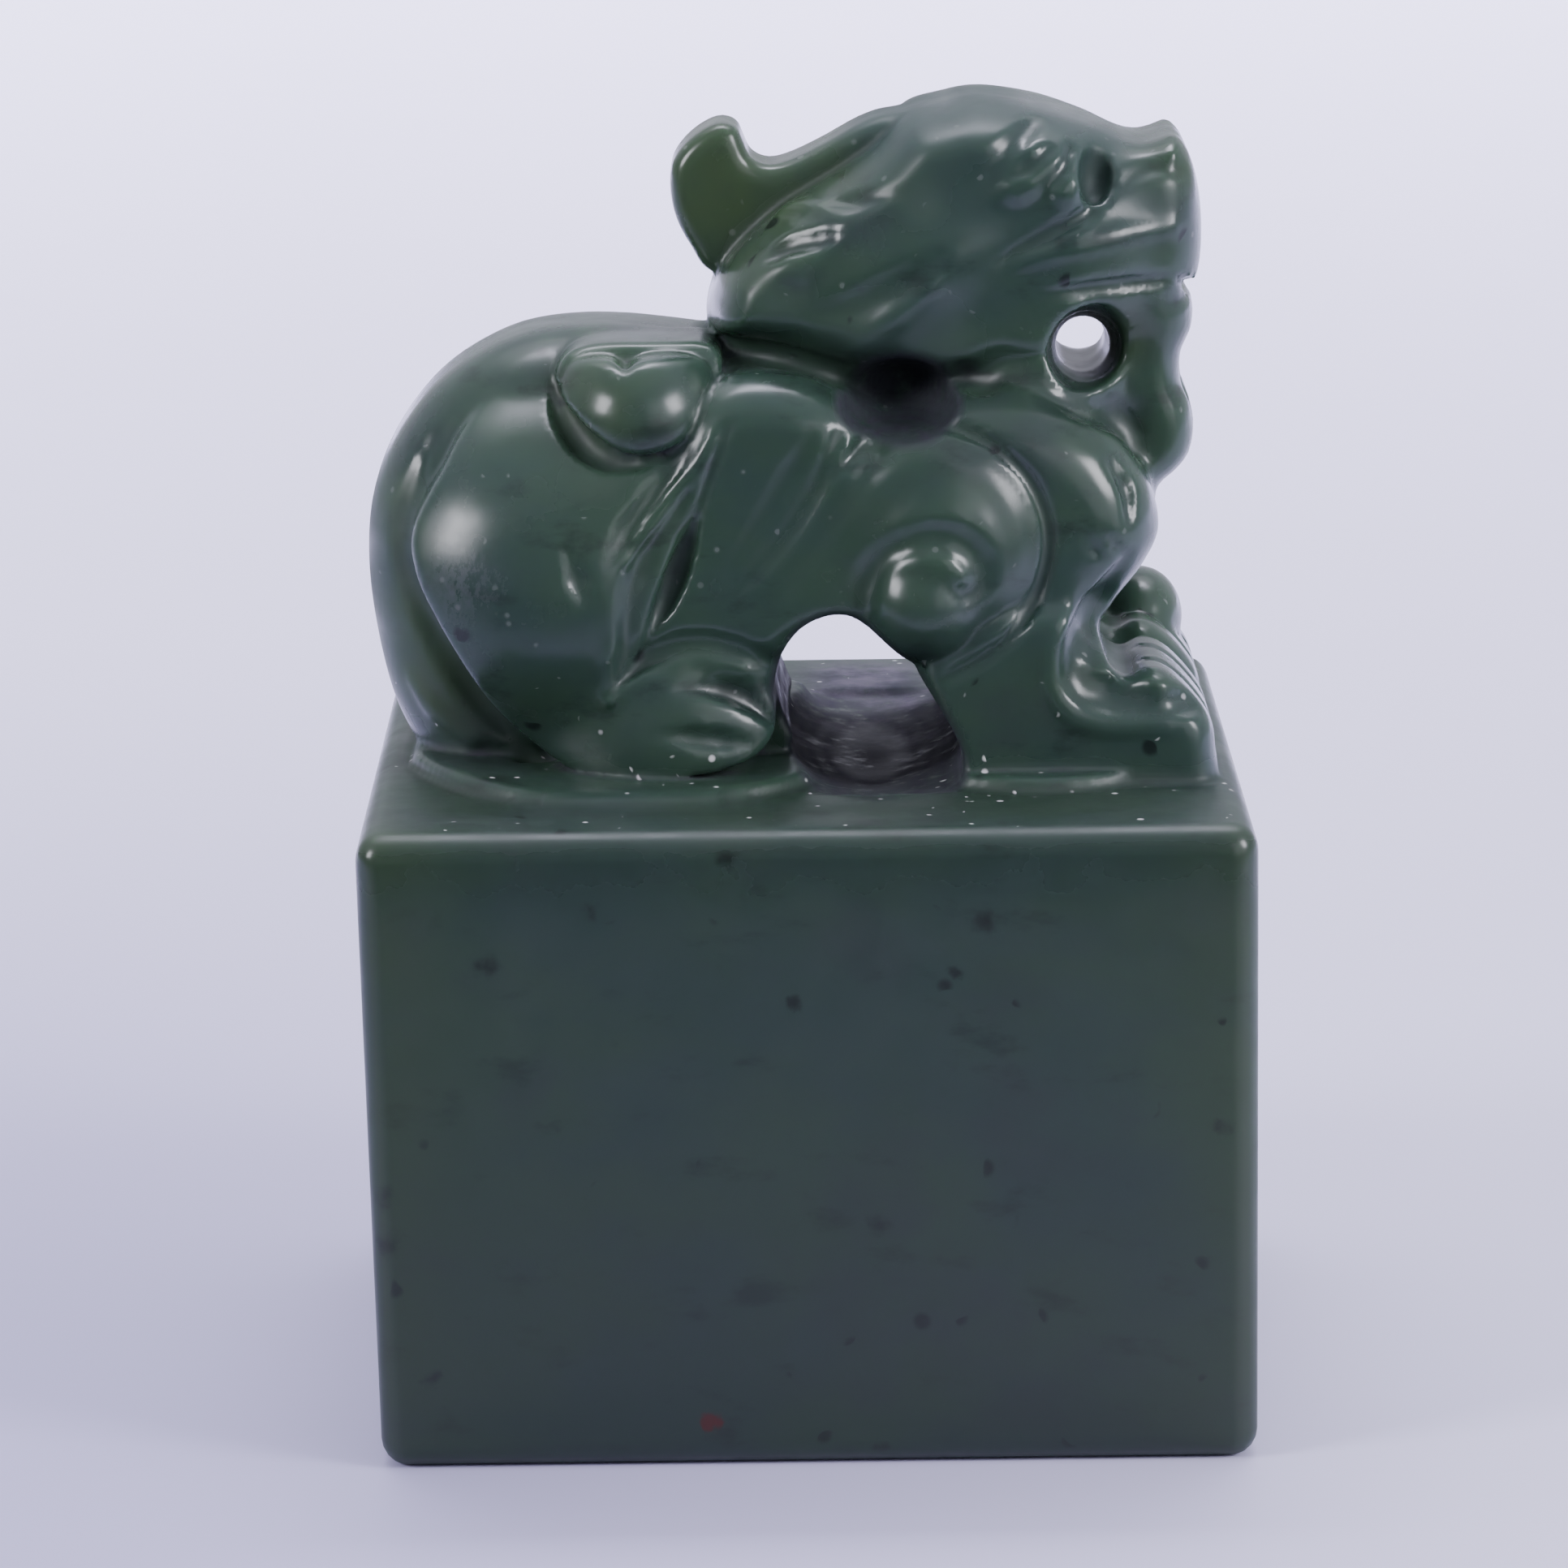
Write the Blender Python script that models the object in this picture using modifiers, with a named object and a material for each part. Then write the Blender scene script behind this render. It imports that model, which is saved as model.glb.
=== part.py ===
"""Jade seal stamp: a square block with a crouching horned beast carved on top, all one stone.

The origin is at the middle of the seal face, under the block. +X runs from the beast's rump to
its nose, +Z is up, and the beast is alike on both sides of the plane Y = 0.
"""
import math

import bmesh
import bpy
from mathutils import Matrix

# Driving dimensions, in metres
BLOCK_WIDTH = 0.035
BLOCK_DEPTH = 0.035
BLOCK_HEIGHT = 0.0255
EDGE_RADIUS = 0.0011
REAR_LEAN = 0.0005
BEAST_HEIGHT = 0.0265
BEAST_DEPTH = 0.0218
RUMP_MARGIN = 0.0
PAW_MARGIN = 0.0011
CORD_HOLE_WIDTH = 0.0075
CORD_HOLE_HEIGHT = 0.0072
CORD_HOLE_SUNK = 0.0003
CORD_HOLE_REACH = 0.0115
BEARD_HOLE_WIDTH = 0.0018
BEARD_HOLE_HEIGHT = 0.0024
BEARD_HOLE_RIM = 0.0008
POCKET_WIDTH = 0.0044
POCKET_HEIGHT = 0.0030
POCKET_REACH = 0.0050

# The beast is drawn on a grid of squares of about a millimetre: x from the rump's back to the
# front paw, z up from the block's top, y out from the middle plane.
GRID_REAR = -17.8
GRID_FRONT = 16.4
GRID_TOP = 26.5
GRID_DEPTH = 21.8

SQUARE_X = (BLOCK_WIDTH - RUMP_MARGIN - PAW_MARGIN) / (GRID_FRONT - GRID_REAR)
SQUARE_Y = BEAST_DEPTH / GRID_DEPTH
SQUARE_Z = BEAST_HEIGHT / GRID_TOP
BEAST_START = -BLOCK_WIDTH / 2 + RUMP_MARGIN

# Fineness of the carved surface, in squares and steps
VOXEL = 0.36
SMOOTHING_STEPS = 2
KEPT_SHARE = 0.1
GROUND = -0.8
FOOTING_HEIGHT = 0.4

BOTH_SIDES = (-1, 1)
WELD = 1e-6
FACET_WELD = 5e-5


def to_block(x, y, z):
    """The place in metres of a point on the beast's grid."""
    return (BEAST_START + (x - GRID_REAR) * SQUARE_X, y * SQUARE_Y, BLOCK_HEIGHT + z * SQUARE_Z)


def as_mesh(obj, weld=WELD):
    """Replace a curve or a modified object by a plain mesh object with the same shape and place."""
    graph = bpy.context.evaluated_depsgraph_get()
    mesh = bpy.data.meshes.new_from_object(obj.evaluated_get(graph))
    mesh.transform(obj.matrix_world)
    shape = bmesh.new()
    shape.from_mesh(mesh)
    bmesh.ops.remove_doubles(shape, verts=shape.verts, dist=weld)
    bmesh.ops.dissolve_degenerate(shape, dist=weld, edges=shape.edges)
    bmesh.ops.recalc_face_normals(shape, faces=shape.faces)
    shape.to_mesh(mesh)
    shape.free()
    name = obj.name
    bpy.data.objects.remove(obj)
    plain = bpy.data.objects.new(name, mesh)
    bpy.context.scene.collection.objects.link(plain)
    return plain


def slab(outline, half, rounding, middle=0.0, tip=0.0):
    """A smooth closed outline in the XZ plane, 2 * half thick, with its rim rounded over.

    middle is how far its mid-plane is from the plane Y = 0, and tip tilts it about its own length.
    """
    curve = bpy.data.curves.new("slab", "CURVE")
    curve.dimensions = "2D"
    curve.fill_mode = "BOTH"
    curve.resolution_u = 3
    curve.extrude = half - rounding
    curve.bevel_depth = rounding
    curve.bevel_resolution = 2
    curve.offset = -rounding
    centre = [sum(values) / len(outline) for values in zip(*outline)]
    spline = curve.splines.new("BEZIER")
    spline.bezier_points.add(len(outline) - 1)
    spline.use_cyclic_u = True
    for point, (x, z) in zip(spline.bezier_points, outline):
        point.co = (x - centre[0], z - centre[1], 0)
        point.handle_left_type = "AUTO"
        point.handle_right_type = "AUTO"
    obj = bpy.data.objects.new("slab", curve)
    bpy.context.scene.collection.objects.link(obj)
    obj.location = (centre[0], middle, centre[1])
    obj.rotation_euler = (math.pi / 2 + math.radians(tip), 0, 0)
    bpy.context.view_layer.update()
    return as_mesh(obj)


def ball(centre, radii, pitch=0.0):
    """An egg with half-axes radii, pitched nose up by pitch degrees."""
    bpy.ops.mesh.primitive_uv_sphere_add(segments=28, ring_count=18, radius=1, location=centre)
    obj = bpy.context.object
    obj.scale = radii
    obj.rotation_euler = (0, -math.radians(pitch), 0)
    bpy.context.view_layer.update()
    return as_mesh(obj)


def strand(points, thickness):
    """A round lock or toe: a smooth tube through the points, as thick at each as thickness says."""
    curve = bpy.data.curves.new("strand", "CURVE")
    curve.dimensions = "3D"
    curve.resolution_u = 5
    curve.bevel_depth = 0.5
    curve.bevel_resolution = 3
    curve.use_fill_caps = True
    spline = curve.splines.new("BEZIER")
    spline.bezier_points.add(len(points) - 1)
    for point, place, size in zip(spline.bezier_points, points, thickness):
        point.co = place
        point.radius = size
        point.handle_left_type = "AUTO"
        point.handle_right_type = "AUTO"
    obj = bpy.data.objects.new("strand", curve)
    bpy.context.scene.collection.objects.link(obj)
    bpy.context.view_layer.update()
    return as_mesh(obj)


def body():
    """Rump, back, belly and chest, which lie across the middle plane."""
    rump = [(-14.6, GROUND), (-15.9, 0.4), (-17.1, 3.2), (-17.8, 7.8), (-17.3, 11.6), (-15.2, 14.9),
            (-12.4, 16.8), (-9.6, 17.45), (-6.0, 17.3), (-1.0, 16.4), (2.6, 14.5), (2.0, 8.5),
            (-4.5, 5.0), (-9.0, GROUND)]
    chest = [(2.4, 15.2), (6.0, 15.5), (9.0, 15.5), (11.8, 14.2), (13.7, 12.2), (14.65, 9.9),
             (14.1, 8.1), (12.6, 6.0), (12.2, 4.0), (12.0, 1.2), (9.0, 0.6), (6.2, 1.0), (4.6, 4.2),
             (3.0, 7.5)]
    return [
        slab(rump, 5.2, 3.0),
        ball((-9.0, 0, 9.6), (8.0, 7.4, 7.2)),
        ball((-3.5, 0, 10.9), (8.5, 7.9, 5.4)),
        slab(chest, 7.4, 3.2),
        ball((8.6, 0, 9.4), (5.9, 9.0, 5.8), 20),
    ]


def footing():
    """The low step that the carver left around the feet."""
    step = [(-14.0, FOOTING_HEIGHT), (-12.0, FOOTING_HEIGHT + 0.2), (16.0, FOOTING_HEIGHT + 0.2),
            (16.3, -0.2), (15.6, GROUND), (-13.6, GROUND), (-14.4, -0.2)]
    return [slab(step, 10.6, 0.5)]


def hind_leg(side):
    """Haunch and folded hind foot."""
    haunch = [(-13.4, 14.6), (-14.9, 12.2), (-15.3, 10.0), (-14.2, 6.6), (-12.0, 3.2), (-9.6, 0.4),
              (-7.8, 0.6), (-7.3, 3.6), (-7.0, 6.6), (-6.0, 9.8), (-4.5, 12.8), (-4.4, 14.6),
              (-7.4, 16.2), (-11.0, 16.2)]
    foot = [(-10.6, GROUND), (-9.4, 1.6), (-7.6, 4.1), (-5.0, 5.15), (-2.6, 4.7), (-1.1, 3.2),
            (-1.0, 1.4), (-2.0, GROUND)]
    return [
        slab(haunch, 4.4, 2.6, side * 5.2),
        ball((-10.2, side * 5.3, 9.4), (4.4, 4.9, 6.2), 16),
        slab(foot, 3.2, 1.8, side * 6.8),
    ]


def flank(side):
    """Waist between haunch and shoulder."""
    waist = [(-7.2, 6.0), (-5.4, 5.0), (-2.6, 5.6), (0.2, 6.8), (3.0, 7.6), (4.0, 10.0), (2.8, 13.4),
             (0.6, 15.4), (-3.6, 16.0), (-4.6, 13.0), (-6.0, 9.6)]
    return [slab(waist, 5.4, 2.2, side * 4.0)]


def shoulder_scroll(side):
    """The scroll that curls over the shoulder, with the round eye at its middle."""
    scroll = [(-3.1, 5.6), (-1.9, 7.9), (-0.1, 10.6), (2.0, 12.9), (5.0, 13.9), (7.8, 12.6),
              (9.2, 9.9), (8.5, 6.8), (6.2, 4.65), (3.8, 5.2), (1.6, 6.2), (-1.0, 5.2)]
    return [
        slab(scroll, 4.2, 1.4, side * 5.9),
        ball((4.5, side * 9.3, 7.8), (2.0, 1.6, 2.0)),
    ]


def foreleg(side):
    """Forearm lying on the block, with the paw at its end."""
    forearm = [(5.4, GROUND), (4.9, 3.2), (4.6, 5.2), (7.4, 5.9), (9.6, 5.0), (10.2, 3.2), (12.2, 2.3),
               (14.6, 2.4), (16.1, 2.2), (16.2, GROUND)]
    return [
        slab(forearm, 3.4, 1.2, side * 5.6),
        strand([(9.9, side * 5.8, 4.6), (12.3, side * 5.8, 3.1), (14.2, side * 5.9, 2.6),
                (15.5, side * 5.9, 1.5)], (4.6, 3.4, 3.6, 1.8)),
    ]


def head():
    """Mane, skull, muzzle and beard."""
    mane = [(-3.45, 17.0), (-3.4, 19.4), (-2.2, 20.9), (0.2, 22.8), (2.8, 24.8), (5.2, 26.1),
            (7.2, 26.5), (9.4, 26.1), (11.4, 25.2), (12.2, 23.0), (12.3, 19.4), (11.0, 17.0),
            (8.6, 15.2), (5.4, 15.8), (1.4, 16.6)]
    muzzle = [(8.6, 25.2), (11.2, 25.2), (13.4, 24.55), (14.9, 24.95), (15.8, 23.4), (16.0, 20.4),
              (15.5, 18.7), (15.6, 17.6), (14.6, 16.6), (12.0, 17.6), (9.0, 17.2), (7.6, 21.0)]
    beard = [(14.2, 19.0), (15.5, 17.6), (15.3, 15.4), (15.8, 13.2), (15.2, 11.5), (13.6, 10.8),
             (11.0, 12.0), (9.4, 14.0), (9.6, 17.8), (12.0, 19.2)]
    return [
        slab(mane, 5.8, 3.6),
        ball((5.0, 0, 20.4), (8.4, 6.4, 4.7), 22),
        ball((11.0, 0, 20.8), (4.8, 5.0, 4.6)),
        slab(muzzle, 4.3, 2.0),
        slab(beard, 2.6, 1.0),
    ]


def horn():
    """One horn on the middle plane, swept back, its tip curled up."""
    blade = [(4.6, 25.4), (3.0, 25.7), (1.4, 25.0), (-0.4, 24.0), (-1.6, 23.85), (-2.3, 24.8),
             (-3.3, 25.5), (-4.6, 24.8), (-5.3, 23.2), (-5.0, 21.4), (-3.6, 19.5), (-1.0, 19.4),
             (2.0, 21.5), (5.0, 23.6)]
    return [slab(blade, 2.0, 0.6)]


def streamer(side):
    """The leaf-ended lock that lies on the haunch."""
    leaf = [(-9.4, 15.9), (-8.6, 16.9), (-7.4, 17.3), (-5.9, 17.0), (-4.3, 17.2), (-3.1, 16.8),
            (-3.0, 15.4), (-4.2, 13.9), (-5.8, 13.3), (-7.6, 14.0), (-8.9, 15.0)]
    return [slab(leaf, 1.9, 1.0, side * 7.4, side * 36)]


def carved_beast():
    """Every form of the beast, grown into one skin and brought to its size."""
    forms = body() + footing() + head() + horn()
    for side in BOTH_SIDES:
        forms += hind_leg(side) + flank(side) + shoulder_scroll(side) + foreleg(side) + streamer(side)
    joined = bmesh.new()
    for form in forms:
        joined.from_mesh(form.data)
        bpy.data.objects.remove(form)
    mesh = bpy.data.meshes.new("beast")
    joined.to_mesh(mesh)
    joined.free()
    beast = bpy.data.objects.new("beast", mesh)
    bpy.context.scene.collection.objects.link(beast)

    skin = beast.modifiers.new("skin", "REMESH")
    skin.mode = "VOXEL"
    skin.voxel_size = VOXEL
    smooth = beast.modifiers.new("smooth", "SMOOTH")
    smooth.iterations = SMOOTHING_STEPS
    facets = beast.modifiers.new("facets", "DECIMATE")
    facets.ratio = KEPT_SHARE
    facets.use_symmetry = True
    facets.symmetry_axis = "Y"
    beast = as_mesh(beast)
    grid_to_block = Matrix.LocRotScale(to_block(0, 0, 0), None, (SQUARE_X, SQUARE_Y, SQUARE_Z))
    beast.data.transform(grid_to_block)
    return beast


def block():
    """The seal's block: all its edges rounded, its rear face leaning in a little toward the foot."""
    bpy.ops.mesh.primitive_cube_add(size=1, location=(0, 0, BLOCK_HEIGHT / 2))
    obj = bpy.context.object
    obj.scale = (BLOCK_WIDTH, BLOCK_DEPTH, BLOCK_HEIGHT)
    bpy.ops.object.transform_apply(location=True, scale=True)
    for vertex in obj.data.vertices:
        if vertex.co.x < 0 and vertex.co.z < BLOCK_HEIGHT / 2:
            vertex.co.x += REAR_LEAN
    rounding = obj.modifiers.new("rounding", "BEVEL")
    rounding.width = EDGE_RADIUS
    rounding.segments = 4
    return as_mesh(obj)


def cutter_object(shape, name):
    """Keep a cutting shape out of the model's own collection."""
    shape.name = name
    shape.hide_render = True
    shape.display_type = "WIRE"
    return shape


def cord_hole():
    """The arch under the belly, open from side to side."""
    left, _, foot = to_block(-1.3, 0, 0)
    foot -= CORD_HOLE_SUNK
    arch = [(0.0, 0.54), (0.03, 0.76), (0.16, 0.95), (0.37, 1.0), (0.55, 0.88), (0.75, 0.67),
            (0.88, 0.46), (0.98, 0.26), (0.93, 0.06), (0.6, 0.0), (0.25, 0.03), (0.07, 0.24)]
    points = [(left + x * CORD_HOLE_WIDTH, foot + z * CORD_HOLE_HEIGHT) for x, z in arch]
    return cutter_object(slab(points, CORD_HOLE_REACH, 0.0), "cord_hole_cutter")


def beard_hole():
    """The drilled eye behind the beard, its mouth flared on both sides."""
    bpy.ops.mesh.primitive_cylinder_add(vertices=16, radius=0.5, depth=1, rotation=(math.pi / 2, 0, 0),
                                        location=to_block(11.4, 0, 16.4))
    drill = bpy.context.object
    drill.scale = (BEARD_HOLE_WIDTH, BEARD_HOLE_HEIGHT, BEAST_DEPTH)
    bpy.context.view_layer.update()
    cutters = [cutter_object(as_mesh(drill), "beard_hole_cutter")]
    for side in BOTH_SIDES:
        bpy.ops.mesh.primitive_cone_add(vertices=16, radius1=0.5 * BEARD_HOLE_WIDTH,
                                        radius2=0.5 * BEARD_HOLE_WIDTH + 2.6 * BEARD_HOLE_RIM,
                                        depth=4.4 * SQUARE_Y, rotation=(-side * math.pi / 2, 0, 0),
                                        location=to_block(11.6, side * 3.8, 16.5))
        cutters.append(cutter_object(as_mesh(bpy.context.object), "beard_flare_cutter"))
    return cutters


def pockets():
    """The deep drilled hollow under the mane, one on each side, ending blind."""
    cutters = []
    for side in BOTH_SIDES:
        bpy.ops.mesh.primitive_uv_sphere_add(segments=16, ring_count=12, radius=1,
                                             location=to_block(3.9, side * 8.2, 15.1))
        hollow = bpy.context.object
        hollow.scale = (POCKET_WIDTH / 2, POCKET_REACH, POCKET_HEIGHT / 2)
        bpy.context.view_layer.update()
        cutters.append(cutter_object(as_mesh(hollow), "pocket_cutter"))
    return cutters


def combine(obj, other, operation):
    """Join another solid to this one, or cut it out."""
    boolean = obj.modifiers.new(other.name, "BOOLEAN")
    boolean.operation = operation
    boolean.solver = "EXACT"
    boolean.object = other


def move_to(collection, objects):
    for obj in objects:
        for home in list(obj.users_collection):
            home.objects.unlink(obj)
        collection.objects.link(obj)


def jade():
    material = bpy.data.materials.new("jade")
    material.use_nodes = True
    shader = material.node_tree.nodes["Principled BSDF"]
    shader.inputs["Base Color"].default_value = (0.035, 0.075, 0.055, 1)
    shader.inputs["Roughness"].default_value = 0.2
    shader.inputs["Metallic"].default_value = 0.0
    material.diffuse_color = (0.035, 0.075, 0.055, 1)
    return material


def main():
    for obj in list(bpy.data.objects):
        bpy.data.objects.remove(obj)
    model = bpy.data.collections.new("jade_seal_stamp")
    cutting = bpy.data.collections.new("cutters")
    for collection in (model, cutting):
        bpy.context.scene.collection.children.link(collection)

    seal = block()
    seal.name = "jade_seal"
    beast = cutter_object(carved_beast(), "beast_form")
    cutters = [cord_hole()] + beard_hole() + pockets()
    combine(seal, beast, "UNION")
    for cutter in cutters:
        combine(seal, cutter, "DIFFERENCE")
    bpy.context.view_layer.update()
    seal = as_mesh(seal, FACET_WELD)
    move_to(model, [seal])
    move_to(cutting, [beast] + cutters)
    seal.data.materials.append(jade())
    seal.data.shade_smooth()
    seal.data.set_sharp_from_angle(angle=math.radians(40))


main()
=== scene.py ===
"""The looks of the jade seal stamp: one carved and polished stone on a pale table.

The beast is carved the way the stone cutter works: solid masses first, then drilled openings, then
lines sunk with a round burr. All of it is one field of distances, negative inside the jade, which
is turned into a mesh at the end.
"""

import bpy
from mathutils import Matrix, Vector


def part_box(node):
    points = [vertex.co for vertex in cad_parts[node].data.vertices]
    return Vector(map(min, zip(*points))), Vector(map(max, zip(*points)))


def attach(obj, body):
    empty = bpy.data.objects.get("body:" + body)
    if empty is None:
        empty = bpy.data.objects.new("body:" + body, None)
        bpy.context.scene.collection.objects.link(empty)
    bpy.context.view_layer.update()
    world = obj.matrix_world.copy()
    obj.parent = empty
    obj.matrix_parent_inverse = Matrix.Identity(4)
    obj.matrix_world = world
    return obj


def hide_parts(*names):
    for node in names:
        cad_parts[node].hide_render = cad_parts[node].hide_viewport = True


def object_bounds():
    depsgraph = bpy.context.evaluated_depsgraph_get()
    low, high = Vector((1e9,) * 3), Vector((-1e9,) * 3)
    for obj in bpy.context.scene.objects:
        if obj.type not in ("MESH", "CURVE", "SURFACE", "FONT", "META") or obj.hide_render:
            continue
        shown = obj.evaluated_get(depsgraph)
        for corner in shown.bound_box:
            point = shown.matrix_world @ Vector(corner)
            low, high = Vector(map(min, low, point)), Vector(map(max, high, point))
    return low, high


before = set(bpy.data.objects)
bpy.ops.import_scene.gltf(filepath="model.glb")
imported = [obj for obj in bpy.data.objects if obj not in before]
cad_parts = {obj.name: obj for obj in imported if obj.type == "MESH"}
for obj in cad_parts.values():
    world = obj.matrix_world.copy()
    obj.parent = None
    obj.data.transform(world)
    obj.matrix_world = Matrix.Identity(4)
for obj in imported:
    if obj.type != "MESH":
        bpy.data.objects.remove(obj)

import copy
import math

import bpy
import numpy as np
from mathutils import Quaternion, Vector

CAD_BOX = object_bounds()

# Sizes in metres, as in the part
(REAR, SIDE, SEAL_FACE), (_, _, TOP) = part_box("jade_seal")
BLOCK_WIDTH = -2 * REAR
BLOCK_DEPTH = -2 * SIDE
BEAST_HEIGHT = 0.0265
BLOCK_HEIGHT = TOP - BEAST_HEIGHT
EDGE_RADIUS = 0.0011
REAR_LEAN = 0.0005
PAW_MARGIN = 0.0011
# How the block's lower part is stepped: rows down its walls, degrees a step around its edge, and the
# share of the edge's radius to which the last ring is drawn out
WALL_ROWS = 6
EDGE_TURN = 18
FLAT_FACE_REACH = 0.02

# The beast's grid: squares of about a millimetre, x along it, u out from the middle plane, z up
GRID_REAR = -17.8
GRID_FRONT = 16.4
GRID_TOP = 26.5
SQUARE_X = (BLOCK_WIDTH - PAW_MARGIN) / (GRID_FRONT - GRID_REAR)
SQUARE_Y = 0.001
SQUARE_Z = BEAST_HEIGHT / GRID_TOP

# How finely the stone is worked, in squares: the field's cells, how far out the carving reaches, the
# coarser steps over the bare block top, and how far the field goes past the stone
CELL = 0.235
CARVED_REACH = 11.6
SHELF_STEP = 0.9
PAST_THE_STONE = 0.5
BELOW_THE_LEDGE = 1.9
NOWHERE_NEAR = 9.0

# The camera: what it looks at, in metres, how far it stands and how it is turned
AIM = Vector((-0.00084, 0.0, 0.02363))
CAMERA_DISTANCE = 0.2945
CAMERA_HEIGHT_ANGLE = 12.33
CAMERA_ROLL = -0.71
LENS = 165.2
SENSOR = 36.0


def smooth_line(points, steps=6, closed=False):
    """A curve that passes through the points, with as many steps between each two."""
    p = np.array(points, float)
    if closed:
        p = np.concatenate([p[-1:], p, p[:2]])
    else:
        p = np.concatenate([2 * p[:1] - p[1:2], p, 2 * p[-1:] - p[-2:-1]])
    t = np.linspace(0, 1, steps, endpoint=False)[:, None]
    rows = []
    for a, b, c, d in zip(p, p[1:], p[2:], p[3:]):
        rows.append(0.5 * (2 * b + (c - a) * t + (2 * a - 5 * b + 4 * c - d) * t**2
                           + (3 * b - a - 3 * c + d) * t**3))
    if not closed:
        rows.append(p[-2:-1])
    return np.concatenate(rows)


def spaced(values, count):
    """The values drawn out evenly to so many."""
    values = np.atleast_1d(values)
    return np.interp(np.linspace(0, 1, count), np.linspace(0, 1, len(values)), values)


def blend_min(a, b, k):
    """The lesser of two fields, melted together over a width k."""
    h = np.maximum(k - np.abs(a - b), 0) / k
    return np.minimum(a, b) - h * h * h * k / 6


def line_distance(x, z, line):
    """How far each place is from a closed line of short straight pieces."""
    best = np.full(x.shape, 1e9, np.float32)
    for a, b in zip(line, np.roll(line, -1, 0)):
        e = b - a
        t = np.clip(((x - a[0]) * e[0] + (z - a[1]) * e[1]) / max(e @ e, 1e-12), 0, 1)
        best = np.minimum(best, (x - a[0] - t * e[0]) ** 2 + (z - a[1] - t * e[1]) ** 2)
    return np.sqrt(best)


def inside(x, z, line):
    """Whether each place is inside a closed line."""
    odd = np.zeros(x.shape, bool)
    for a, b in zip(line, np.roll(line, -1, 0)):
        if a[1] != b[1]:
            odd ^= ((a[1] > z) != (b[1] > z)) & (x < (b[0] - a[0]) * (z - a[1]) / (b[1] - a[1]) + a[0])
    return odd


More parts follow.
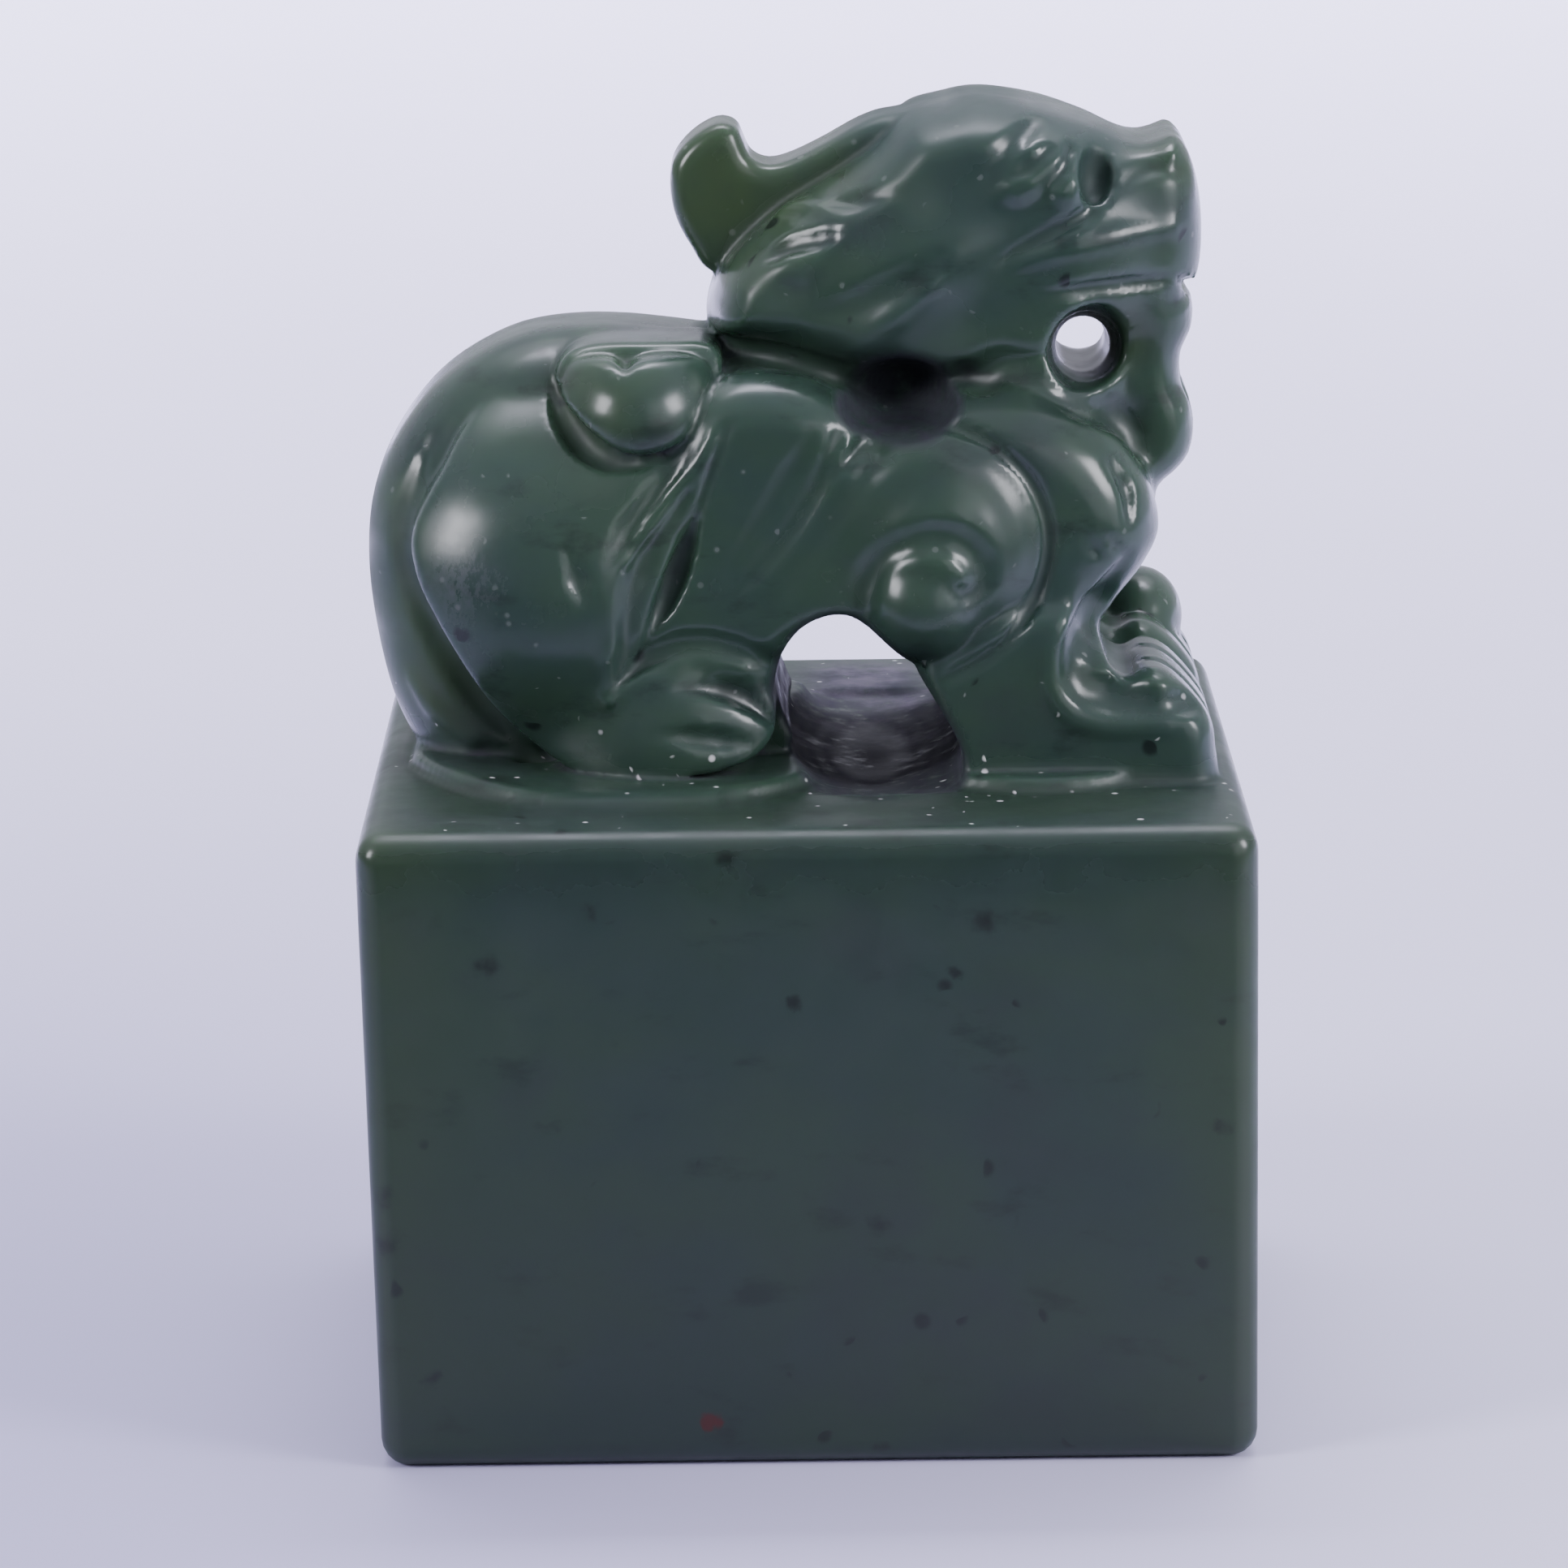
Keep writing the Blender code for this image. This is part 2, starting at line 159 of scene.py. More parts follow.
class Stone:
    """One side of the stone, from its middle plane outward, as distances to the surface."""

    def __init__(self, cell):
        self.half_x = BLOCK_WIDTH / SQUARE_X / 2
        self.half_u = BLOCK_DEPTH / SQUARE_Y / 2
        self.middle_x = GRID_REAR + self.half_x
        self.x = np.arange(self.middle_x - self.half_x - PAST_THE_STONE,
                           self.middle_x + self.half_x + PAST_THE_STONE + cell, cell)
        carved = np.arange(0, CARVED_REACH, cell)
        shelf = np.arange(carved[-1] + 0.7, self.half_u - 1.6, SHELF_STEP)
        rim = np.arange(shelf[-1] + 0.5, self.half_u + 0.6, cell * 1.25)
        self.u = np.concatenate([carved, shelf, rim])
        self.carved = len(carved)
        self.z = np.arange(-BELOW_THE_LEDGE, GRID_TOP + 2 * PAST_THE_STONE, cell)
        self.X, self.Z = np.meshgrid(self.x, self.z, indexing="ij")
        self.f = self.block_field()
        self.drilled = np.full(self.f.shape, NOWHERE_NEAR, np.float32)

    def block_field(self):
        """The block's top and walls with their rounded edges."""
        r = EDGE_RADIUS / SQUARE_Z
        dx = np.abs(self.x - self.middle_x)[:, None, None] - self.half_x + r
        du = self.u[None, :, None] - self.half_u + r
        dz = self.z[None, None, :] + r
        out = np.sqrt(np.maximum(dx, 0) ** 2 + np.maximum(du, 0) ** 2 + np.maximum(dz, 0) ** 2)
        return (out + np.minimum(np.maximum(np.maximum(dx, du), dz), 0) - r).astype(np.float32)

    def part_of(self, low, high, margin=2.5):
        """The slices of the field that hold a box, and a margin around it."""
        cut = []
        for axis, a, b in zip((self.x, self.u, self.z), low, high):
            i = max(int(np.searchsorted(axis, a - margin)), 0)
            j = min(int(np.searchsorted(axis, b + margin)) + 1, len(axis))
            cut.append(slice(i, max(j, i + 1)))
        return tuple(cut)

    def slab_field(self, points, middle, half, rounding, crown=None, lean=0.0):
        """A mass with the outline in side view, 2 * half thick around u = middle.

        Its rim curves over by rounding in side view and by crown across. lean moves its middle
        outward for each square up.
        """
        line = smooth_line(points, closed=True)
        low, high = line.min(0), line.max(0)
        room = half + 9 * abs(lean)
        cut = self.part_of((low[0], middle - room, low[1]), (high[0], middle + room, high[1]))
        X, Z = self.X[cut[0], cut[2]], self.Z[cut[0], cut[2]]
        d = line_distance(X, Z, line)
        d = np.where(inside(X, Z, line), -d, d)
        crown = rounding if crown is None else crown
        centre = middle + lean * (Z - (low[1] + high[1]) / 2)
        across = np.abs(self.u[cut[1]][None, :, None] - centre[:, None, :])
        a = (d + rounding)[:, None, :]
        b = (across - (half - crown)) * (rounding / crown)
        pa, pb = np.maximum(a, 0), np.maximum(b, 0)
        size = np.sqrt(pa**2 + pb**2)
        f = size + np.minimum(np.maximum(a, b), 0) - rounding
        steepness = np.sqrt(pa**2 + (pb * rounding / crown) ** 2) / np.maximum(size, 1e-3)
        return cut, (f / np.where(size > 1e-3, np.maximum(steepness, 0.3), 1)).astype(np.float32)

    def ball_field(self, centre, radii, pitch=0.0, yaw=0.0, cut=None):
        """An egg, pitched nose up and yawed nose out by so many degrees."""
        big = max(radii)
        cut = cut or self.part_of(np.subtract(centre, big), np.add(centre, big))
        x = self.x[cut[0]][:, None, None] - centre[0]
        u = self.u[cut[1]][None, :, None] - centre[1]
        z = self.z[cut[2]][None, None, :] - centre[2]
        c, s = math.cos(math.radians(yaw)), math.sin(math.radians(yaw))
        x, u = x * c + u * s, u * c - x * s
        c, s = math.cos(math.radians(pitch)), math.sin(math.radians(pitch))
        x, z = x * c + z * s, z * c - x * s
        far = np.sqrt((x / radii[0]) ** 2 + (u / radii[1]) ** 2 + (z / radii[2]) ** 2)
        slope = np.sqrt((x / radii[0] ** 2) ** 2 + (u / radii[1] ** 2) ** 2 + (z / radii[2] ** 2) ** 2)
        return cut, (far * (far - 1) / np.maximum(slope, 1e-6)).astype(np.float32)

    def dome_field(self, slab, balls, melt=0.4):
        """What a slab and some eggs have in common: a crisp outline under a round crown."""
        cut, f = self.slab_field(*slab)
        crown = self.ball_field(*balls[0], cut=cut)[1]
        for ball in balls[1:]:
            crown = blend_min(crown, self.ball_field(*ball, cut=cut)[1], 2.0)
        return cut, -blend_min(-f, -crown, melt)

    def strand_field(self, rows):
        """A round strand along rows of x, u, z and radius."""
        low = (rows[:, :3] - rows[:, 3:]).min(0)
        high = (rows[:, :3] + rows[:, 3:]).max(0)
        cut = self.part_of(low, high, 1.2)
        x = self.x[cut[0]][:, None, None]
        u = self.u[cut[1]][None, :, None]
        z = self.z[cut[2]][None, None, :]
        best = np.full(self.f[cut].shape, NOWHERE_NEAR, np.float32)
        for a, b in zip(rows[:-1], rows[1:]):
            e = b[:3] - a[:3]
            t = ((x - a[0]) * e[0] + (u - a[1]) * e[1] + (z - a[2]) * e[2]) / max(e @ e, 1e-9)
            t = np.clip(t, 0, 1)
            d = np.sqrt((x - a[0] - t * e[0]) ** 2 + (u - a[1] - t * e[1]) ** 2 + (z - a[2] - t * e[2]) ** 2)
            best = np.minimum(best, d - (a[3] + t * (b[3] - a[3])))
        return cut, best

    def add(self, shape, melt=0.4):
        cut, f = shape
        self.f[cut] = blend_min(self.f[cut], f, melt)

    def take(self, shape, melt=0.15):
        cut, f = shape
        self.f[cut] = -blend_min(-self.f[cut], f, melt)

    def drill(self, shape, melt=0.25):
        """Take a shape out, and remember its walls, which stay unpolished."""
        cut, f = shape
        self.drilled[cut] = np.minimum(self.drilled[cut], np.abs(f))
        self.take(shape, melt)

    def skin(self):
        """How far out the stone reaches at each place in side view, and how it slopes there."""
        f = self.f[:, :self.carved, :]
        u = self.u[:self.carved]
        solid = f < 0
        last = len(u) - 1 - np.argmax(solid[:, ::-1, :], axis=1)
        last = np.clip(last, 0, len(u) - 2)
        i, k = np.indices(last.shape)
        near, beyond = f[i, last, k], f[i, last + 1, k]
        out = u[last] + (u[last + 1] - u[last]) * np.clip(near / np.minimum(near - beyond, -1e-6), 0, 1)
        out[~solid.any(axis=1)] = 0
        slope_x, slope_z = np.gradient(out, self.x, self.z)
        return out, np.clip(slope_x, -3, 3), np.clip(slope_z, -3, 3)

    def burr_path(self, points, radius, depth, steps=6):
        """Where a round burr travels to sink a line of some depth into the skin."""
        line = smooth_line(points, steps)
        radius, depth = spaced(radius, len(line)), spaced(depth, len(line))
        i = np.clip(np.searchsorted(self.x, line[:, 0]), 1, len(self.x) - 2)
        k = np.clip(np.searchsorted(self.z, line[:, 1]), 1, len(self.z) - 2)
        layers = [layer[i, k] for layer in self.skin()]
        for layer in layers:
            for _ in range(3):
                layer[1:-1] = (layer[:-2] + 2 * layer[1:-1] + layer[2:]) / 4
        out, slope_x, slope_z = layers
        lift = (radius - depth) / np.sqrt(1 + slope_x**2 + slope_z**2)
        return np.stack([line[:, 0] - slope_x * lift, out + lift, line[:, 1] - slope_z * lift, radius], -1)

    def gouge(self, points, radius=0.45, depth=0.35, melt=0.12):
        """Sink a line into the side of the beast."""
        self.take(self.strand_field(self.burr_path(points, radius, depth)), melt)

    def welt(self, points, radius=0.6, height=0.3, melt=0.5, steps=25):
        """Raise a soft ridge on the side of the beast."""
        radius, height = spaced(radius, steps), spaced(height, steps)
        rows = self.burr_path(points, radius, 2 * radius - height)
        self.add(self.strand_field(rows), melt)


def rough_out(stone):
    """The big masses, from the rump to the muzzle."""
    slab, ball, add = stone.slab_field, stone.ball_field, stone.add
    # rump and back, filled down to the block between the hind feet
    add(slab([(-14.6, -1.2), (-15.9, 0.4), (-17.1, 3.2), (-17.8, 7.8), (-17.3, 11.6), (-15.2, 14.9),
              (-12.4, 16.8), (-9.6, 17.45), (-6.0, 17.3), (-1.0, 16.4), (2.6, 14.5), (3.4, 10.0),
              (2.8, 5.0), (1.6, -1.2), (-6.0, -1.4)], 0, 5.6, 3.4, 4.2))
    add(ball((-8.4, 0, 9.4), (8.8, 7.7, 7.6)), 0.8)
    add(ball((-7.5, 0, 10.6), (8.6, 8.6, 6.3)), 1.2)
    add(ball((-3.0, 0, 10.9), (8.0, 8.6, 5.4)), 1.2)
    # chest and shoulder
    add(slab([(2.4, 15.2), (6.0, 15.5), (9.0, 15.5), (11.8, 14.2), (13.5, 12.2), (14.2, 9.9),
              (13.6, 8.3), (12.3, 6.6), (11.7, 5.2), (11.7, 1.2), (9.0, 0.6), (6.2, 1.0),
              (4.6, 4.2), (3.0, 7.5)], 0, 8.9, 2.8, 3.6), 0.5)
    add(ball((9.4, 0, 15.4), (4.6, 6.6, 3.0)), 1.2)
    # waist
    add(slab([(-10.2, 4.6), (-9.2, 2.4), (-7.2, 1.2), (-4.8, 1.0), (-2.6, 1.8), (-1.0, 3.8), (1.0, 6.0),
              (3.2, 7.6), (4.2, 10.0), (3.2, 13.4), (1.2, 15.6), (-1.4, 16.3), (-3.8, 15.8), (-6.0, 13.6),
              (-8.2, 10.8), (-9.8, 7.6)], 3.6, 5.6, 2.0, 2.8), 0.6)
    # haunch and hind foot, one skin from the back to the toes
    add(stone.dome_field(
        ([(-11.6, 15.9), (-12.9, 14.9), (-13.8, 13.8), (-14.4, 12.7), (-15.0, 11.7), (-15.55, 10.6),
          (-15.75, 9.6), (-15.45, 8.3), (-14.8, 7.0), (-13.9, 5.4), (-12.7, 3.5), (-11.1, 1.7),
          (-9.4, 0.7), (-7.2, 0.5), (-4.7, 0.7), (-2.6, 1.1), (-1.5, 1.9), (-1.3, 3.1), (-1.7, 4.3),
          (-2.8, 4.9), (-4.2, 5.2), (-5.6, 5.0), (-6.9, 4.5), (-7.75, 3.95), (-7.2, 5.0), (-6.5, 6.7),
          (-5.8, 8.7), (-4.9, 10.8), (-4.1, 12.8), (-3.4, 14.9), (-4.0, 16.3), (-6.2, 16.9),
          (-9.2, 16.8)], 4.6, 6.4, 0.25, 0.4),
        [((-9.8, 0.6, 7.6), (9.6, 9.9, 8.7)), ((-6.3, 0.0, 10.3), (6.8, 9.5, 6.4)),
         ((-5.3, 0.0, 1.6), (8.0, 10.4, 7.3), -4)]), 0.5)
    # shoulder scroll: a flat band drawn out to a tail at the waist, full where it turns
    add(slab([(-2.8, 5.0), (-1.9, 7.4), (-0.2, 9.9), (1.3, 11.9), (3.0, 13.2), (4.6, 13.6), (6.4, 12.4),
              (7.4, 10.0), (6.8, 7.2), (5.4, 5.0), (3.8, 5.2), (2.0, 6.0), (-0.4, 5.6)],
             5.0, 4.3, 1.4, 1.6), 0.6)
    add(slab([(1.9, 6.6), (1.6, 8.4), (1.5, 10.2), (2.0, 12.0), (3.2, 13.3), (5.0, 13.9), (6.8, 13.4),
              (8.2, 12.3), (9.0, 10.9), (9.2, 9.4), (8.8, 7.9), (7.9, 6.6), (6.6, 5.5), (5.3, 4.8),
              (3.8, 5.2)], 5.1, 4.3, 1.1, 1.4), 0.8)
    add(ball((5.4, 5.2, 9.3), (4.6, 5.3, 5.2)), 0.8)
    add(ball((4.7, 8.2, 7.3), (2.5, 2.55, 2.4)), 0.5)
    # foreleg and paw
    add(slab([(5.2, -1.0), (4.9, 2.6), (4.4, 5.0), (6.4, 6.8), (9.6, 7.4), (11.2, 6.8), (11.7, 5.6),
              (12.1, 4.6), (12.8, 4.15), (13.6, 4.5), (14.4, 4.3), (15.3, 3.5), (16.1, 2.4),
              (16.3, 1.4), (16.2, -0.4), (13.6, -1.2), (9.4, -1.3)], 5.0, 4.6, 1.1, 1.6), 0.4)
    # mane and skull
    add(slab([(-3.4, 17.2), (-3.45, 19.2), (-2.7, 20.5), (-0.9, 22.0), (1.2, 23.1), (2.8, 24.4),
              (4.2, 25.8), (5.6, 26.25), (7.2, 26.5), (9.2, 26.2), (11.2, 25.4), (11.9, 24.4),
              (12.3, 22.0), (12.2, 18.6), (11.2, 16.8), (9.6, 15.6), (6.0, 15.2), (3.0, 16.0),
              (0.6, 16.6)], 0, 6.3, 1.7, 4.9), 0.5)
    add(ball((4.2, 0, 20.0), (8.4, 7.0, 4.6), 24), 1.2)
    # muzzle
    add(slab([(8.6, 25.2), (11.2, 25.2), (12.8, 24.65), (13.6, 24.55), (14.3, 24.75), (14.95, 24.95),
              (15.5, 24.4), (15.9, 23.2), (16.05, 21.8), (16.0, 20.2), (15.8, 19.2), (15.5, 18.7),
              (15.7, 18.1), (15.4, 17.2), (14.4, 16.6), (12.0, 17.0), (9.4, 16.4), (7.6, 20.6)],
             0, 4.7, 1.7, 2.4), 1.4)
    add(ball((11.3, 0, 20.5), (4.4, 6.2, 4.5)), 1.6)
    # beard
    add(slab([(14.2, 18.6), (15.55, 17.6), (15.25, 16.2), (15.3, 15.1), (15.65, 14.2), (15.8, 13.1),
              (15.5, 12.0), (14.6, 11.1), (13.4, 10.6), (11.2, 12.0), (9.4, 13.8), (9.4, 17.6),
              (12.0, 18.8)], 0, 4.4, 1.2, 2.1), 0.9)
    # horn
    add(slab([(4.8, 25.6), (3.6, 25.75), (2.4, 25.4), (0.9, 24.6), (-0.4, 24.0), (-1.3, 23.8),
              (-2.0, 24.1), (-2.35, 24.8), (-2.6, 25.3), (-3.3, 25.5), (-4.3, 25.0), (-5.1, 24.1),
              (-5.3, 23.1), (-5.1, 21.8), (-4.5, 20.6), (-3.6, 19.5), (-1.0, 19.2), (2.0, 21.2),
              (5.0, 23.6)], 0, 2.1, 0.7, 0.8), 0.3)
    # the low steps left around the feet
    for middle, reach_x, reach_u in ((-7.0, 9.6, 13.2), (9.2, 8.0, 10.8)):
        add(stone.dome_field(
            ([(-15.6, 0.6), (-11, 0.6), (-6, 0.6), (0, 0.6), (6, 0.6), (11, 0.6), (16.0, 0.6),
              (16.3, -0.5), (15.6, -1.5), (11, -1.6), (6, -1.6), (0, -1.6), (-6, -1.6), (-11, -1.6),
              (-15.4, -1.5), (-16.0, -0.5)], 0, 13.0, 0.15, 0.2),
            [((middle, 0.0, 0.0), (reach_x, reach_u, 4.0))], 0.15), 0.2)


def drill_openings(stone):
    """Cord hole, the eye behind the beard and the hollow under the mane."""
    stone.drill(stone.slab_field([(-1.3, 3.5), (-1.1, 5.0), (-0.5, 6.1), (0.4, 6.75), (1.5, 6.9),
                                  (2.4, 6.4), (3.4, 5.5), (4.4, 4.4), (5.2, 3.2), (5.9, 2.0),
                                  (6.2, 0.9), (5.7, 0.05), (3.2, -0.35), (0.6, -0.1), (-0.6, 1.4)],
                                 0, 10.4, 0.3, 0.5), 0.2)
    stone.drill(stone.ball_field((2.6, 0.0, 0.9), (3.6, 12.6, 1.6)), 0.3)
    stone.take(stone.strand_field(np.array([(11.25, 0.0, 16.5, 1.05), (11.3, 2.6, 16.6, 1.1),
                                            (11.4, 4.2, 16.75, 1.4), (11.5, 5.6, 16.85, 1.8)])), 0.2)
    stone.drill(stone.ball_field((3.8, 8.2, 15.25), (2.4, 5.4, 1.55)), 0.25)
    stone.take(stone.ball_field((11.9, 5.55, 24.1), (0.85, 1.5, 1.6), -12), 0.12)


def rump_lines(stone):
    """Where the tail lies against the rump, behind the haunch."""
    stone.gouge([(-15.9, 13.6), (-15.5, 12.5), (-15.25, 11.4)], [0.2, 0.3, 0.2], [0.03, 0.12, 0.03])
    stone.gouge([(-15.0, 13.4), (-15.7, 11.8), (-16.3, 10.2), (-16.2, 8.4), (-15.4, 6.4), (-14.3, 4.6),
                 (-13.0, 2.9), (-11.6, 1.5), (-10.4, 0.6)], [0.6, 0.9, 0.9, 0.9, 0.6],
                [0.1, 0.3, 0.35, 0.35, 0.3], 0.4)
    stone.welt([(-16.0, 3.6), (-15.2, 2.5), (-13.6, 1.3)], [0.3, 0.5, 0.3], [0.05, 0.15, 0.05], 0.5)


def flank_lines(stone):
    """The facet and the slit beside the thigh, the toes and the ribs."""
    gouge = stone.gouge
    # short nick on the haunch
    gouge([(-9.5, 9.9), (-9.05, 8.7), (-8.7, 7.5)], [0.25, 0.6, 0.2], [0.04, 0.26, 0.02], 0.05)
    # dip above the facet, steep where it meets the facet's edge
    gouge([(-4.7, 13.4), (-5.8, 11.9), (-6.9, 10.5), (-7.8, 9.2)],
          [0.4, 0.8, 1.0, 0.5], [0.03, 0.28, 0.32, 0.03], 0.08)
    # facet along the front of the thigh
    gouge([(-3.9, 13.2), (-5.0, 11.1), (-6.3, 9.1), (-6.85, 7.3), (-7.3, 5.6), (-7.75, 4.5)],
          [0.4, 1.2, 2.0, 1.6, 0.9, 0.3], [0.05, 0.2, 0.42, 0.36, 0.2, 0.03], 0.04)
    # slit between thigh and waist
    gouge([(-3.0, 14.6), (-3.7, 12.8), (-4.35, 11.2), (-4.8, 9.8), (-5.2, 8.6), (-5.7, 7.4), (-6.2, 6.4)],
          [0.25, 0.3, 0.35, 0.5, 0.55, 0.45, 0.2], [0.1, 0.15, 0.25, 0.6, 0.7, 0.5, 0.05], 0.06)
    # over the hind foot
    gouge([(-7.0, 5.2), (-6.2, 5.45), (-5.2, 5.8), (-4.0, 5.85), (-2.6, 5.5), (-1.3, 4.9)],
          [0.25, 0.6, 0.8, 0.8, 0.8, 0.6], [0.03, 0.15, 0.22, 0.22, 0.22, 0.2], 0.3)
    # the ridges left standing between these cuts
    stone.welt([(-3.5, 14.3), (-4.3, 12.9), (-5.5, 11.6), (-6.4, 10.4), (-7.1, 9.3)],
               [0.25, 0.3, 0.32, 0.32, 0.25], [0.05, 0.16, 0.18, 0.18, 0.1], 0.12)
    stone.welt([(-7.1, 9.3), (-7.4, 8.0), (-7.6, 6.7), (-7.9, 5.2), (-8.0, 3.8)], 0.4, 0.1, 0.25)
    stone.welt([(-3.6, 14.4), (-4.1, 12.8), (-4.7, 10.9), (-5.8, 8.8), (-6.5, 6.7), (-7.1, 5.0), (-7.9, 3.7)],
               0.3, [0.1, 0.16, 0.18, 0.18, 0.16], 0.12)
    stone.welt([(-7.9, 3.7), (-7.0, 4.35), (-6.1, 4.8), (-5.2, 5.1), (-4.2, 5.2), (-2.8, 4.9), (-1.7, 4.5)],
               0.3, [0.16, 0.18, 0.16], 0.12)
    # toes
    gouge([(-5.1, 4.1), (-4.0, 4.15), (-2.9, 3.85), (-2.1, 3.3), (-1.5, 2.6)], [0.3, 0.6, 0.6, 0.3],
          [0.05, 0.25, 0.25, 0.1], 0.1)
    gouge([(-6.2, 2.5), (-4.6, 2.3), (-3.4, 2.1), (-2.4, 1.9)],
          [0.25, 0.6, 0.6, 0.3], [0.03, 0.25, 0.25, 0.05], 0.1)
    # ribs
    gouge([(1.3, 14.0), (0.6, 12.5), (-0.5, 10.6), (-1.9, 8.9), (-3.0, 7.6)],
          [0.4, 0.7, 0.8, 0.5], [0.1, 0.28, 0.2, 0.03], 0.12)
    gouge([(0.3, 14.0), (-0.5, 12.6), (-1.7, 10.6), (-3.0, 8.8)],
          [0.4, 1.0, 1.0, 0.5], [0.05, 0.2, 0.15, 0.02], 0.3)


def shoulder_lines(stone):
    """The scroll, the foreleg and the hair on the chest."""
    gouge = stone.gouge
    # around the scroll
    gouge([(1.1, 12.5), (2.5, 13.7), (5.0, 14.35), (7.1, 13.8), (8.7, 12.5), (9.5, 10.9), (9.65, 9.4),
           (9.2, 7.7), (8.2, 6.2), (6.8, 5.1), (5.4, 4.4)],
          [0.3, 0.35, 0.35, 0.35, 0.3], [0.08, 0.24, 0.28, 0.24, 0.15])
    # the turn of the scroll into its eye
    gouge([(2.3, 6.4), (2.25, 7.7), (2.5, 8.7), (3.1, 9.45), (3.9, 9.9), (4.9, 10.15), (6.0, 9.95),
           (6.8, 9.2), (6.95, 8.4), (6.4, 7.9), (5.8, 8.1)],
          [0.5, 0.7, 0.8, 1.0, 1.1, 0.8, 0.3], [0.15, 0.3, 0.35, 0.4, 0.4, 0.25, 0.03], 0.3)
    # the inside of the foreleg, down over the paw
    gouge([(12.9, 9.0), (12.0, 7.6), (11.3, 6.3), (11.0, 5.1), (11.3, 4.1), (12.4, 3.5), (13.8, 3.3),
           (15.4, 3.0)], [0.8, 1.4, 1.6, 1.5, 1.3, 1.1, 0.8], [0.1, 0.4, 0.7, 0.75, 0.6, 0.35, 0.1], 0.12)
    stone.welt([(10.7, 7.8), (9.95, 6.4), (9.65, 5.0), (9.9, 3.6), (10.6, 2.75), (11.7, 2.4), (13.0, 2.3),
                (14.2, 2.4)], [0.4, 0.45, 0.4], [0.03, 0.16, 0.16, 0.05], 0.35)
    # the breast stands out below the neck
    gouge([(6.4, 15.6), (7.6, 16.1), (9.4, 15.8), (11.4, 14.7), (13.2, 12.8)], [0.5, 0.9, 1.0, 1.0, 0.6],
          [0.05, 0.15, 0.2, 0.2, 0.05], 0.5)
    # hair on the chest
    gouge([(12.1, 12.6), (12.75, 11.6), (12.8, 10.4)], [0.3, 0.6, 0.2], [0.04, 0.22, 0.02])
    gouge([(11.1, 10.3), (11.5, 9.4), (12.0, 8.7)], [0.2, 0.4, 0.2], [0.04, 0.2, 0.02])
    gouge([(11.8, 10.2), (12.3, 9.5), (12.9, 8.9)], [0.15, 0.25, 0.15], [0.03, 0.15, 0.02])


